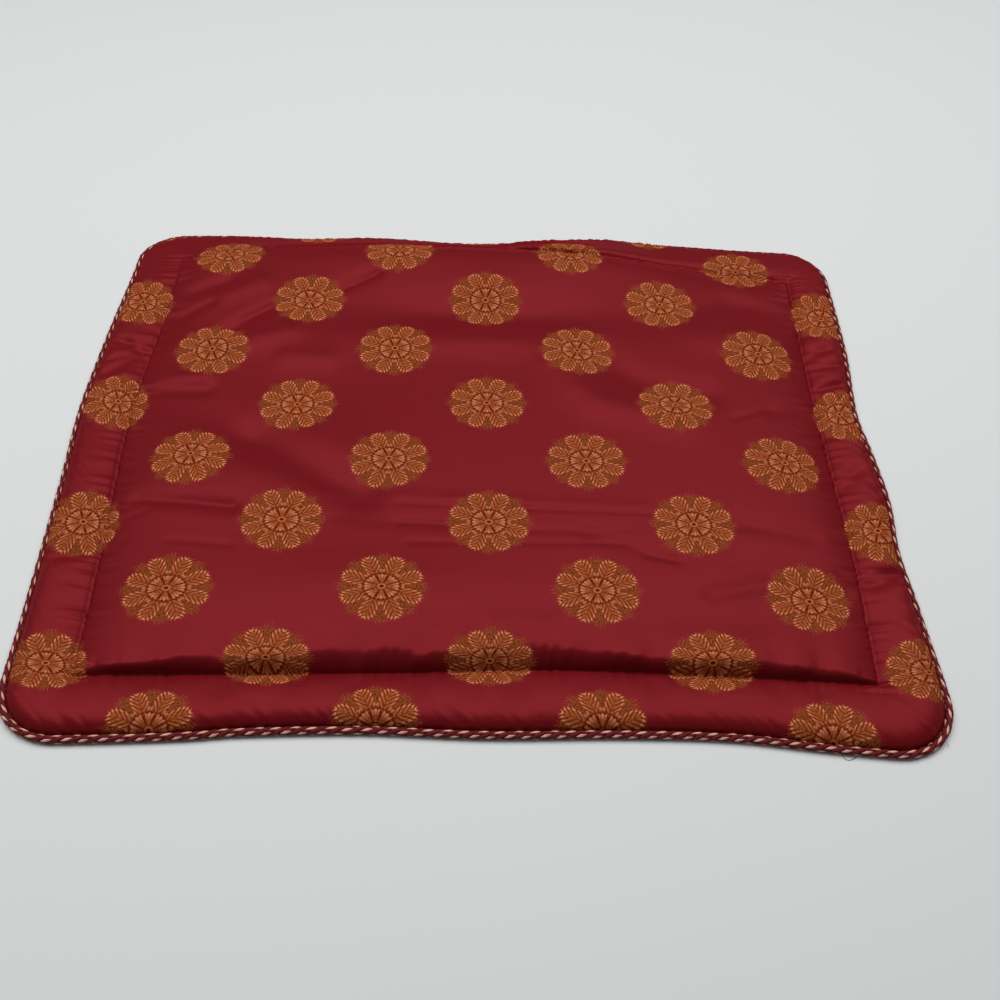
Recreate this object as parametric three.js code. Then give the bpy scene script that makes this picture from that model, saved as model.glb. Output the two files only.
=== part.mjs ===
// Pillow sham, laid flat and empty: a lightly wadded front with a stitched flange, an envelope back of
// two overlapping panels, and a twisted cord sewn round the rim. Millimetres, +Z up, face up, with the
// origin under the middle of the sham on the surface it lies on. +X runs along the long side.

import * as THREE from 'three';
import { mergeVertices } from 'three/addons/utils/BufferGeometryUtils.js';

// Driving dimensions of the plan, as half sizes from the middle
const CLOTH_HALF_WIDTH = 377;
const CLOTH_HALF_DEPTH = 305;
const SEAM_HALF_WIDTH = 335;
const SEAM_HALF_DEPTH = 255;
const CORNER_RADIUS = 40;

// Thicknesses and clearances
const GAP = 0.3;
const BACK_THICKNESS = 1.5;
const RIM_TOP = 5.2;
const CORD_DIAMETER = 7;

// Heights of the face above the surface, and how fast it rises beside the rim and the stitching
const PANEL_HEIGHT = 22;
const CROWN_HEIGHT = 1;
const FLANGE_PUFF = 8.5;
const RIM_SOFTNESS = 5;
const RIM_SOFTNESS_FAR = 3.5;
const STITCH_SOFTNESS = 8;
const SEAM_HEIGHT_NEAR = 6.5;
const SEAM_RISE_FROM = 120;

// The envelope back: the two panels overlap by twice this, and the upper one steps over the lower
const OVERLAP_HALF = 75;
const OVERLAP_RAMP = 15;

// Grid of the face: lines beside the rim and the stitching, then even lines over the panel
const PANEL_PITCH = 15;
const RIM_LINES = [0, 3, 8, 16, 25, 34, 41];
const STITCH_LINES = [0, 4, 9, 16, 25, 36];

// How far each edge and each seam stands outside its straight line, along that line
const EDGE_LEFT = [
  { at: -303, out: 0 }, { at: -228, out: 2 }, { at: -53, out: 5 }, { at: 37, out: 8 },
  { at: 107, out: 5 }, { at: 167, out: 1 }, { at: 237, out: -5 }, { at: 297, out: -8 },
];
const EDGE_RIGHT = [
  { at: -303, out: 9 }, { at: -243, out: 9 }, { at: -173, out: 6 }, { at: -113, out: 2 },
  { at: -53, out: 6 }, { at: 7, out: 2 }, { at: 57, out: -3 }, { at: 147, out: 3 },
  { at: 257, out: 3 }, { at: 297, out: 1 },
];
const EDGE_NEAR = [
  { at: -380, out: 7 }, { at: -300, out: 4 }, { at: -230, out: 0 }, { at: -190, out: -4 },
  { at: -90, out: -8 }, { at: 10, out: -6 }, { at: 120, out: -9 }, { at: 210, out: -8 },
  { at: 290, out: 0 }, { at: 380, out: 7 },
];
const EDGE_FAR = [
  { at: -380, out: -6 }, { at: -280, out: -2 }, { at: -200, out: -4 }, { at: -115, out: 1 },
  { at: -20, out: -5 }, { at: 60, out: -1 }, { at: 140, out: 5 }, { at: 220, out: 1 },
  { at: 290, out: -4 }, { at: 380, out: -8 },
];
const SEAM_LEFT = [
  { at: -253, out: -7 }, { at: -123, out: -4 }, { at: -3, out: 2 }, { at: 87, out: 0 },
  { at: 162, out: -6 }, { at: 247, out: -11 },
];
const SEAM_RIGHT = [
  { at: -253, out: 0 }, { at: -123, out: 4 }, { at: -3, out: 2 }, { at: 97, out: 1 },
  { at: 247, out: 3 },
];
const SEAM_NEAR = [
  { at: -330, out: 3 }, { at: -75, out: -5 }, { at: 50, out: -11 }, { at: 160, out: -10 },
  { at: 330, out: -4 },
];
const SEAM_FAR = [
  { at: -330, out: 1 }, { at: -270, out: 9 }, { at: -87, out: 15 }, { at: 50, out: 15 },
  { at: 120, out: 13 }, { at: 200, out: 9 }, { at: 330, out: -6 },
];

// Height of the far stitching along it, and of the far flange's puff: the wadding holds the middle up
const SEAM_HEIGHT_FAR = [
  { at: -330, out: 12 }, { at: -271, out: 21 }, { at: -180, out: 26 }, { at: -87, out: 29 },
  { at: 50, out: 28 }, { at: 120, out: 24 }, { at: 200, out: 14 }, { at: 330, out: 9 },
];

const FLANGE_PUFF_FAR = [
  { at: -330, out: 8 }, { at: -250, out: 10 }, { at: -60, out: 10 }, { at: 20, out: 9 },
  { at: 60, out: 13 }, { at: 140, out: 13 }, { at: 200, out: 9 }, { at: 330, out: 8 },
];

// How slowly the far flange rises beside the stitching: it hangs down from the panel's high left half
const STITCH_SOFTNESS_FAR = [
  { at: -330, out: 20 }, { at: -60, out: 24 }, { at: 40, out: 8 }, { at: 330, out: 8 },
];

// The panel's shoulder inside each seam: how soft it is at the far seam and the ends, and how wide the
// steep bank at the near seam is, along that seam
const SHOULDER = { far: 8, left: 36, right: 34 };
const BANK_SHARPNESS = 1.5;
const BANK_NEAR = [
  { at: -320, out: 5 }, { at: -269, out: 6 }, { at: -235, out: 10 }, { at: -200, out: 10 },
  { at: -135, out: 13 }, { at: -117, out: 17 }, { at: -95, out: 14 }, { at: -66, out: 18 },
  { at: -45, out: 12 }, { at: -20, out: 13 }, { at: 48, out: 19 }, { at: 72, out: 16 },
  { at: 109, out: 12 }, { at: 155, out: 9 }, { at: 229, out: 12 }, { at: 258, out: 8 },
  { at: 286, out: 8 }, { at: 325, out: 4 },
];

// Broad swells of the panel: centre, reach along X and Y, and height
const SWELLS = [
  { x: 0, y: 262, reachX: 210, reachY: 48, height: 14 },
  { x: 300, y: 262, reachX: 80, reachY: 45, height: -10 },
  { x: 5, y: 190, reachX: 90, reachY: 40, height: 5 },
  { x: -190, y: 55, reachX: 90, reachY: 60, height: -6 },
  { x: -265, y: 112, reachX: 60, reachY: 45, height: -3 },
  { x: 190, y: 48, reachX: 90, reachY: 50, height: 3 },
  { x: -230, y: -50, reachX: 110, reachY: 45, height: 4 },
  { x: -90, y: -177, reachX: 150, reachY: 40, height: 4 },
  { x: 290, y: -170, reachX: 60, reachY: 50, height: -5 },
];

// Main folds: a soft trough, or a ridge where depth is negative, from one end to the other
const FOLDS = [
  { fromX: -332, fromY: 150, toX: -282, toY: 183, width: 9, depth: 5 },
  { fromX: -292, fromY: 178, toX: -232, toY: 210, width: 14, depth: -3 },
  { fromX: -302, fromY: 197, toX: -268, toY: 213, width: 10, depth: 4 },
  { fromX: -256, fromY: 142, toX: -217, toY: 174, width: 9, depth: 4 },
  { fromX: -197, fromY: 180, toX: -110, toY: 226, width: 9, depth: 2 },
  { fromX: -322, fromY: 74, toX: -270, toY: 76, width: 10, depth: -3 },
  { fromX: -320, fromY: 59, toX: -268, toY: 58, width: 9, depth: 3 },
  { fromX: -196, fromY: 111, toX: -150, toY: 107, width: 14, depth: 2 },
  { fromX: -315, fromY: 46, toX: -211, toY: -6, width: 26, depth: 2 },
  { fromX: -211, fromY: -6, toX: -106, toY: -70, width: 22, depth: 4 },
  { fromX: -305, fromY: -80, toX: -220, toY: -91, width: 9, depth: 3 },
  { fromX: -143, fromY: -72, toX: -23, toY: -79, width: 10, depth: -2 },
  { fromX: -23, fromY: -79, toX: 154, toY: -84, width: 10, depth: -2 },
  { fromX: -128, fromY: -101, toX: -28, toY: -108, width: 10, depth: 2 },
  { fromX: -28, fromY: -108, toX: 101, toY: -112, width: 10, depth: 2 },
  { fromX: 101, fromY: -112, toX: 178, toY: -140, width: 9, depth: 2 },
  { fromX: 237, fromY: -96, toX: 301, toY: -106, width: 9, depth: 2 },
  { fromX: 203, fromY: -174, toX: 255, toY: -159, width: 9, depth: 2 },
  { fromX: 270, fromY: 205, toX: 318, toY: 191, width: 16, depth: 3 },
  { fromX: 290, fromY: 46, toX: 320, toY: 56, width: 10, depth: 2 },
  { fromX: 138, fromY: -200, toX: 238, toY: -198, width: 18, depth: 2 },
  { fromX: -370, fromY: -141, toX: -331, toY: -136, width: 8, depth: 4 },
  { fromX: -374, fromY: 129, toX: -331, toY: 114, width: 8, depth: 3 },
  { fromX: -371, fromY: 82, toX: -334, toY: 120, width: 8, depth: 4 },
  { fromX: 326, fromY: -163, toX: 381, toY: -138, width: 8, depth: 4 },
  { fromX: 334, fromY: 77, toX: 366, toY: 92, width: 8, depth: 4 },
  { fromX: 335, fromY: 120, toX: 379, toY: 121, width: 8, depth: 3 },
  { fromX: 342, fromY: 136, toX: 378, toY: 149, width: 8, depth: 3 },
  { fromX: 340, fromY: -40, toX: 362, toY: -22, width: 8, depth: 3 },
];

// Puckers across the near stitching: place along it, depth, width, and reach to each side
const PUCKERS = [
  { at: -272, depth: 2, width: 11, reach: 22 }, { at: -208, depth: 4, width: 14, reach: 26 },
  { at: -146, depth: 2, width: 11, reach: 20 }, { at: -98, depth: 3, width: 11, reach: 26 },
  { at: -46, depth: 3, width: 11, reach: 30 }, { at: -3, depth: 3, width: 11, reach: 32 },
  { at: 34, depth: 4, width: 12, reach: 30 }, { at: 94, depth: 3, width: 12, reach: 24 },
  { at: 148, depth: 4, width: 11, reach: 28 }, { at: 180, depth: 2, width: 11, reach: 22 },
  { at: 251, depth: 3, width: 11, reach: 24 }, { at: 288, depth: 4, width: 12, reach: 26 },
];

// The cord's sections: how many sides they have, and the least distance from one to the next
const CORD_SIDES = 8;
const CORD_LEAST_STEP = 4.4;

const SATIN = { color: '#7f2429', roughness: 0.55, metalness: 0 };
const LINING_CLOTH = { color: '#7a2a2c', roughness: 0.85, metalness: 0 };
const CORD_THREAD = { color: '#8f4238', roughness: 0.7, metalness: 0 };

// The slope of a table at one of its rows, from the rows on both sides
function slopeAt(table, row) {
  const before = table[Math.max(row - 1, 0)];
  const after = table[Math.min(row + 1, table.length - 1)];
  return (after.out - before.out) / (after.at - before.at);
}

// A table's value at a place along its line: a smooth curve through its rows, level past its ends
function lookUp(table, at) {
  if (at <= table[0].at) return table[0].out;
  for (let row = 1; row < table.length; row += 1) {
    const before = table[row - 1];
    const after = table[row];
    if (at <= after.at) {
      const span = after.at - before.at;
      const part = (at - before.at) / span;
      const eased = part * part * (3 - 2 * part);
      const leaving = slopeAt(table, row - 1) * span * part * (1 - part) ** 2;
      const arriving = slopeAt(table, row) * span * part ** 2 * (part - 1);
      return THREE.MathUtils.lerp(before.out, after.out, eased) + leaving + arriving;
    }
  }
  return table[table.length - 1].out;
}

// How far a line at this distance from the middle moves outwards: nothing at the middle, the seam's
// own amount at the seam, and the edge's at the rim
function outwardShift(distance, seam, rim, seamOut, edgeOut) {
  if (distance <= seam) return seamOut * (distance / seam) ** 2;
  return THREE.MathUtils.lerp(seamOut, edgeOut, (distance - seam) / (rim - seam));
}

// Grid lines on one side of the middle, from the rim inwards
function linesFromRim(halfCloth, halfSeam) {
  const lines = RIM_LINES.map((inward) => halfCloth - inward);
  STITCH_LINES.forEach((inward) => lines.push(halfSeam - inward));
  const innermost = halfSeam - STITCH_LINES[STITCH_LINES.length - 1];
  const evenLines = Math.floor((innermost - PANEL_PITCH / 2) / PANEL_PITCH);
  for (let step = evenLines; step > 0; step -= 1) lines.push(step * PANEL_PITCH);
  return lines;
}

// All the grid lines across the sham, rim to rim
function gridLines(halfCloth, halfSeam) {
  const half = linesFromRim(halfCloth, halfSeam);
  return [...half.map((value) => -value), 0, ...half.reverse()];
}

// The plan of the cloth: a point of the plain rectangle, carried into the rounded, uneven outline.
// In a corner square a point keeps its distance from the rim but moves onto a quarter circle.
function planPoint(across, along) {
  let x = Math.abs(across);
  let y = Math.abs(along);
  const pastX = x - (CLOTH_HALF_WIDTH - CORNER_RADIUS);
  const pastY = y - (CLOTH_HALF_DEPTH - CORNER_RADIUS);
  if (pastX > 0 && pastY > 0) {
    const squeeze = Math.max(pastX, pastY) / Math.hypot(pastX, pastY);
    x += pastX * (squeeze - 1);
    y += pastY * (squeeze - 1);
  }
  const [edgeX, seamX] = across < 0 ? [EDGE_LEFT, SEAM_LEFT] : [EDGE_RIGHT, SEAM_RIGHT];
  const [edgeY, seamY] = along < 0 ? [EDGE_NEAR, SEAM_NEAR] : [EDGE_FAR, SEAM_FAR];
  const shiftX = outwardShift(
    x, SEAM_HALF_WIDTH, CLOTH_HALF_WIDTH, lookUp(seamX, along), lookUp(edgeX, along));
  const shiftY = outwardShift(
    y, SEAM_HALF_DEPTH, CLOTH_HALF_DEPTH, lookUp(seamY, across), lookUp(edgeY, across));
  return new THREE.Vector2(Math.sign(across) * (x + shiftX), Math.sign(along) * (y + shiftY));
}

// How much of a full rise is reached at a distance from where it starts
function rise(distance, softness) {
  return 1 - Math.exp(-Math.max(distance, 0) / softness);
}

// How much a place belongs to the far side: nothing up to the middle, all of it at the far seam
function farPart(along) {
  return THREE.MathUtils.smoothstep(along, SEAM_RISE_FROM, SEAM_HALF_DEPTH);
}

// The height of the stitching: low at the near side, held up by the wadding at the far side
function seamHeight(x, along) {
  return THREE.MathUtils.lerp(SEAM_HEIGHT_NEAR, lookUp(SEAM_HEIGHT_FAR, x), farPart(along));
}

// How much of the full height is reached inside the near seam: a steep bank that turns level at its
// own width
function nearBank(inside, x) {
  const ahead = THREE.MathUtils.clamp(1 - inside / lookUp(BANK_NEAR, x), 0, 1);
  return 1 - ahead ** BANK_SHARPNESS;
}

// Distance from a point to a fold's line
function distanceToFold(x, y, fold) {
  const alongX = fold.toX - fold.fromX;
  const alongY = fold.toY - fold.fromY;
  const part = ((x - fold.fromX) * alongX + (y - fold.fromY) * alongY) / (alongX ** 2 + alongY ** 2);
  const nearest = THREE.MathUtils.clamp(part, 0, 1);
  return Math.hypot(x - fold.fromX - nearest * alongX, y - fold.fromY - nearest * alongY);
}

// Swells, folds and puckers together, as a change of height
function unevenness(x, y, alongFromSeam) {
  let change = 0;
  for (const swell of SWELLS) {
    const spread = ((x - swell.x) / swell.reachX) ** 2 + ((y - swell.y) / swell.reachY) ** 2;
    change += swell.height * Math.exp(-spread);
  }
  for (const fold of FOLDS) {
    change -= fold.depth * Math.exp(-((distanceToFold(x, y, fold) / fold.width) ** 2));
  }
  for (const pucker of PUCKERS) {
    const spread = ((x - pucker.at) / pucker.width) ** 2 + (alongFromSeam / pucker.reach) ** 2;
    change -= pucker.depth * Math.exp(-spread);
  }
  return change;
}

// The height of the face at a point of the plain rectangle
function faceHeight(across, along) {
  const { x, y } = planPoint(across, along);
  const fromRim = Math.min(CLOTH_HALF_WIDTH - Math.abs(across), CLOTH_HALF_DEPTH - Math.abs(along));
  const pastSeamX = Math.abs(across) - SEAM_HALF_WIDTH;
  const pastSeamY = Math.abs(along) - SEAM_HALF_DEPTH;
  const fromStitch = Math.hypot(Math.max(pastSeamX, 0), Math.max(pastSeamY, 0));
  const stitch = seamHeight(x, along);
  const uneven = unevenness(x, y, along + SEAM_HALF_DEPTH);
  if (fromStitch > 0 || Math.max(pastSeamX, pastSeamY) === 0) {
    const far = farPart(along);
    const towardsSeam = (fromRim / (fromRim + fromStitch)) ** (1 + far);
    const base = THREE.MathUtils.lerp(RIM_TOP, stitch, towardsSeam);
    const softness = THREE.MathUtils.lerp(RIM_SOFTNESS, RIM_SOFTNESS_FAR, far);
    const besideSeam = THREE.MathUtils.lerp(STITCH_SOFTNESS, lookUp(STITCH_SOFTNESS_FAR, x), far);
    const body = rise(fromRim, softness) * rise(fromStitch, besideSeam);
    const puff = THREE.MathUtils.lerp(FLANGE_PUFF, lookUp(FLANGE_PUFF_FAR, x), far);
    return base + body * (puff + uneven * (1 - far));
  }
  const shoulder =
    nearBank(SEAM_HALF_DEPTH + along, x) * rise(SEAM_HALF_DEPTH - along, SHOULDER.far) *
    rise(SEAM_HALF_WIDTH + across, SHOULDER.left) * rise(SEAM_HALF_WIDTH - across, SHOULDER.right);
  const dome = (1 - (across / SEAM_HALF_WIDTH) ** 2) * (1 - (along / SEAM_HALF_DEPTH) ** 2);
  const full = PANEL_HEIGHT + CROWN_HEIGHT * dome + uneven;
  return stitch + shoulder * (full - stitch);
}

// The height of a layer across the sham, as steps: high over the overlap, and low past a ramp on each
// side where it comes down
function stepHeights(low, high, rampsLeft, rampsRight) {
  const steps = [{ at: -OVERLAP_HALF, height: high }, { at: OVERLAP_HALF, height: high }];
  if (rampsLeft) steps.unshift({ at: -OVERLAP_HALF - OVERLAP_RAMP, height: low });
  if (rampsRight) steps.push({ at: OVERLAP_HALF + OVERLAP_RAMP, height: low });
  return steps;
}

// A collector of triangles that become one closed geometry
class Skin {
  constructor() {
    this.corners = [];
  }

  triangle(a, b, c) {
    this.corners.push(...a.toArray(), ...b.toArray(), ...c.toArray());
  }

  quad(a, b, c, d) {
    this.triangle(a, b, c);
    this.triangle(a, c, d);
  }

  geometry() {
    const loose = new THREE.BufferGeometry();
    loose.setAttribute('position', new THREE.Float32BufferAttribute(this.corners, 3));
    const merged = mergeVertices(loose, 1e-4);
    merged.computeVertexNormals();
    return merged;
  }
}

const columns = gridLines(CLOTH_HALF_WIDTH, SEAM_HALF_WIDTH);
const rows = gridLines(CLOTH_HALF_DEPTH, SEAM_HALF_DEPTH);

// The rim of the plan between two columns, anticlockwise from the near left: near edge, right edge,
// far edge, left edge. Each entry keeps its column value, which decides its height.
function rimBetween(firstColumn, lastColumn) {
  const part = columns.filter((value) => value >= firstColumn && value <= lastColumn);
  const inner = rows.slice(1, -1);
  const near = rows[0];
  const far = rows[rows.length - 1];
  const loop = part.map((column) => ({ column, row: near }));
  if (lastColumn === columns[columns.length - 1]) {
    inner.forEach((row) => loop.push({ column: lastColumn, row }));
  }
  [...part].reverse().forEach((column) => loop.push({ column, row: far }));
  if (firstColumn === columns[0]) {
    [...inner].reverse().forEach((row) => loop.push({ column: firstColumn, row }));
  }
  return loop;
}

// Height at a column from a list of steps: straight between steps, level past the ends
function heightAtColumn(steps, column) {
  if (column <= steps[0].at) return steps[0].height;
  for (let index = 1; index < steps.length; index += 1) {
    const before = steps[index - 1];
    const after = steps[index];
    if (column <= after.at) {
      const part = (column - before.at) / (after.at - before.at);
      return THREE.MathUtils.lerp(before.height, after.height, part);
    }
  }
  return steps[steps.length - 1].height;
}

// A flat or stepped face between two columns, cut where its slope changes, facing up or down
function addSteppedFace(skin, firstColumn, lastColumn, steps, facesUp) {
  const cuts = steps.map((step) => step.at).filter((at) => at > firstColumn && at < lastColumn);
  const bounds = [firstColumn, ...cuts, lastColumn];
  for (let index = 1; index < bounds.length; index += 1) {
    const loop = rimBetween(bounds[index - 1], bounds[index]);
    const flat = loop.map(({ column, row }) => planPoint(column, row));
    const solid = loop.map(({ column }, place) =>
      new THREE.Vector3(flat[place].x, flat[place].y, heightAtColumn(steps, column)));
    for (const [a, b, c] of THREE.ShapeUtils.triangulateShape(flat, [])) {
      const turn = new THREE.Vector2().subVectors(flat[b], flat[a])
        .cross(new THREE.Vector2().subVectors(flat[c], flat[a])) > 0;
      if (turn === facesUp) skin.triangle(solid[a], solid[b], solid[c]);
      else skin.triangle(solid[a], solid[c], solid[b]);
    }
  }
}

// The side wall between a lower and an upper height round a loop
function addWall(skin, loop, lowerAt, upperAt) {
  loop.forEach((spot, index) => {
    const next = loop[(index + 1) % loop.length];
    const here = planPoint(spot.column, spot.row);
    const there = planPoint(next.column, next.row);
    skin.quad(
      new THREE.Vector3(here.x, here.y, lowerAt(spot.column)),
      new THREE.Vector3(there.x, there.y, lowerAt(next.column)),
      new THREE.Vector3(there.x, there.y, upperAt(next.column)),
      new THREE.Vector3(here.x, here.y, upperAt(spot.column)));
  });
}

// The wadded front: the modelled face, a thin rim, and an underside that follows the back panels
function frontGeometry() {
  const skin = new Skin();
  const face = columns.map((column) => rows.map((row) => {
    const { x, y } = planPoint(column, row);
    return new THREE.Vector3(x, y, faceHeight(column, row));
  }));
  for (let i = 1; i < columns.length; i += 1) {
    for (let j = 1; j < rows.length; j += 1) {
      const [a, b, c, d] = [face[i - 1][j - 1], face[i][j - 1], face[i][j], face[i - 1][j]];
      if (a.z + c.z > b.z + d.z) skin.quad(a, b, c, d);
      else skin.quad(b, c, d, a);
    }
  }
  const first = columns[0];
  const last = columns[columns.length - 1];
  const low = BACK_THICKNESS + GAP;
  const under = stepHeights(low, 2 * low, true, true);
  addSteppedFace(skin, first, last, under, false);
  addWall(skin, rimBetween(first, last), (column) => heightAtColumn(under, column), () => RIM_TOP);
  return skin.geometry();
}

// One back panel: a thin sheet between two columns, stepped where it laps over the other one
function backGeometry(firstColumn, lastColumn, steps) {
  const skin = new Skin();
  const raised = steps.map(({ at, height }) => ({ at, height: height + BACK_THICKNESS }));
  addSteppedFace(skin, firstColumn, lastColumn, raised, true);
  addSteppedFace(skin, firstColumn, lastColumn, steps, false);
  addWall(
    skin, rimBetween(firstColumn, lastColumn),
    (column) => heightAtColumn(steps, column), (column) => heightAtColumn(raised, column));
  return skin.geometry();
}

// The cord's stations: the points of the rim that are not too close together
function cordStations() {
  const kept = [];
  for (const { column, row } of rimBetween(columns[0], columns[columns.length - 1])) {
    const point = planPoint(column, row);
    if (kept.every((other) => other.distanceTo(point) >= CORD_LEAST_STEP)) kept.push(point);
  }
  return kept;
}

// The cord: a closed ring of flat-sided sections just outside the rim, resting on the surface
function cordGeometry() {
  const skin = new Skin();
  const flatRadius = CORD_DIAMETER / 2;
  const cornerRadius = flatRadius / Math.cos(Math.PI / CORD_SIDES);
  const stations = cordStations();
  const sections = stations.map((point, index) => {
    const before = stations[(index + stations.length - 1) % stations.length];
    const after = stations[(index + 1) % stations.length];
    const incoming = new THREE.Vector2().subVectors(point, before).normalize();
    const outgoing = new THREE.Vector2().subVectors(after, point).normalize();
    const along = new THREE.Vector2().addVectors(incoming, outgoing).normalize();
    const outward = new THREE.Vector2(along.y, -along.x);
    const mitre = 1 / along.dot(outgoing);
    const corners = [];
    for (let side = 0; side < CORD_SIDES; side += 1) {
      const angle = (side + 0.5) * 2 * Math.PI / CORD_SIDES;
      const reach = (GAP + flatRadius + cornerRadius * Math.cos(angle)) * mitre;
      corners.push(new THREE.Vector3(
        point.x + outward.x * reach,
        point.y + outward.y * reach,
        flatRadius + cornerRadius * Math.sin(angle)));
    }
    return corners;
  });
  sections.forEach((section, index) => {
    const next = sections[(index + 1) % sections.length];
    for (let side = 0; side < CORD_SIDES; side += 1) {
      const up = (side + 1) % CORD_SIDES;
      skin.quad(section[side], next[side], next[up], section[up]);
    }
  });
  return skin.geometry();
}

// A named mesh of one cloth
function piece(name, geometry, finish) {
  const mesh = new THREE.Mesh(geometry, new THREE.MeshStandardMaterial(finish));
  mesh.name = name;
  return mesh;
}

const leftEnd = columns[0];
const rightEnd = columns[columns.length - 1];
const flatSteps = [{ at: -OVERLAP_HALF, height: 0 }];
const lapSteps = stepHeights(0, BACK_THICKNESS + GAP, false, true);

const sham = new THREE.Group();
sham.add(piece('wadded_front', frontGeometry(), SATIN));
sham.add(piece('back_panel_left', backGeometry(leftEnd, OVERLAP_HALF, flatSteps), LINING_CLOTH));
sham.add(piece('back_panel_right', backGeometry(-OVERLAP_HALF, rightEnd, lapSteps), LINING_CLOTH));
sham.add(piece('edge_cord', cordGeometry(), CORD_THREAD));

export default sham;
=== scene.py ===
"""Pillow sham, laid flat and empty, dressed round its CAD frame.

The sham is a lightly wadded front of crimson satin jacquard with a sewn flange, an envelope back of two
plain panels, and a twisted cord sewn round the rim. Sizes are in millimetres until a mesh is made, with
+X along the long side, +Y away from the camera and +Z up from the surface that the sham lies on.
"""

import logging
import math
from dataclasses import dataclass
from enum import Enum
from typing import Any

import bpy
import numpy as np
from mathutils import Matrix, Vector


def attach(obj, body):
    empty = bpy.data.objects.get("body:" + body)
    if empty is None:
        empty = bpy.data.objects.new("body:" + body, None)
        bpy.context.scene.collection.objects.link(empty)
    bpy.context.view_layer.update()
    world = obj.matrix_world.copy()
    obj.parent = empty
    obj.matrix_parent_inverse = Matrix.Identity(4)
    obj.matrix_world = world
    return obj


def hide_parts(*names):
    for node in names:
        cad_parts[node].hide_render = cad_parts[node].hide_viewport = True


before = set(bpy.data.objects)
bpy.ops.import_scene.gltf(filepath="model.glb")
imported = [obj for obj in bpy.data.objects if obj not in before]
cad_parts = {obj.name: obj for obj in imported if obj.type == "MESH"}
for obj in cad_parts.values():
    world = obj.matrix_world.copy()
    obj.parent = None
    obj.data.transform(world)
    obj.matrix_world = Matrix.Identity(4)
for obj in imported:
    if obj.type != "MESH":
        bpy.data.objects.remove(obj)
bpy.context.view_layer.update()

LOG = logging.getLogger("sham")
MM = 0.001
TURN = 2 * math.pi
TINY = 1e-9
ROOT = "root"
PATTERN_MAP = "Pattern"

Array = np.ndarray
Course = tuple[tuple[float, float, float], ...]


def smooth_between(value: Array, low: float, high: float) -> Array:
    """Ease from 0 at low to 1 at high: 3p^2 - 2p^3 of the part p of the way.

    Args:
        value: places along the way.
        low: where the rise starts.
        high: where it ends.

    Returns:
        The eased part, from 0 to 1.
    """
    part = np.clip((value - low) / (high - low), 0, 1)
    return part * part * (3 - 2 * part)


def rise(distance: Array, softness: float) -> Array:
    """Part of a full rise reached at a distance from its start: one minus e to the -distance/softness."""
    return 1 - np.exp(-np.maximum(distance, 0) / softness)


def blend(first: Array | float, second: Array | float, part: Array) -> Array:
    """Go in a straight line from the first value at part 0 to the second at part 1."""
    return first + (second - first) * part


@dataclass(frozen=True)
class EdgeTable:
    """How far a line stands from its plain course, along that course."""

    at: tuple[float, ...]
    out: tuple[float, ...]

    def __call__(self, where: Array) -> Array:
        """Read the table as a smooth curve through its rows, level past its ends.

        Formula: a cubic Hermite curve whose slope at each row is that of the line between its neighbours.

        Args:
            where: places along the course.

        Returns:
            The table's value at each place.
        """
        at = np.array(self.at, float)
        out = np.array(self.out, float)
        last = len(at) - 1
        before_row = np.maximum(np.arange(last + 1) - 1, 0)
        after_row = np.minimum(np.arange(last + 1) + 1, last)
        slope = (out[after_row] - out[before_row]) / (at[after_row] - at[before_row])
        place = np.clip(where, at[0], at[-1])
        row = np.clip(np.searchsorted(at, place, side="right") - 1, 0, last - 1)
        span = at[row + 1] - at[row]
        part = (place - at[row]) / span
        leaving = slope[row] * span * part * (1 - part) ** 2
        arriving = slope[row + 1] * span * part**2 * (part - 1)
        return blend(out[row], out[row + 1], smooth_between(part, 0, 1)) + leaving + arriving


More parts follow.
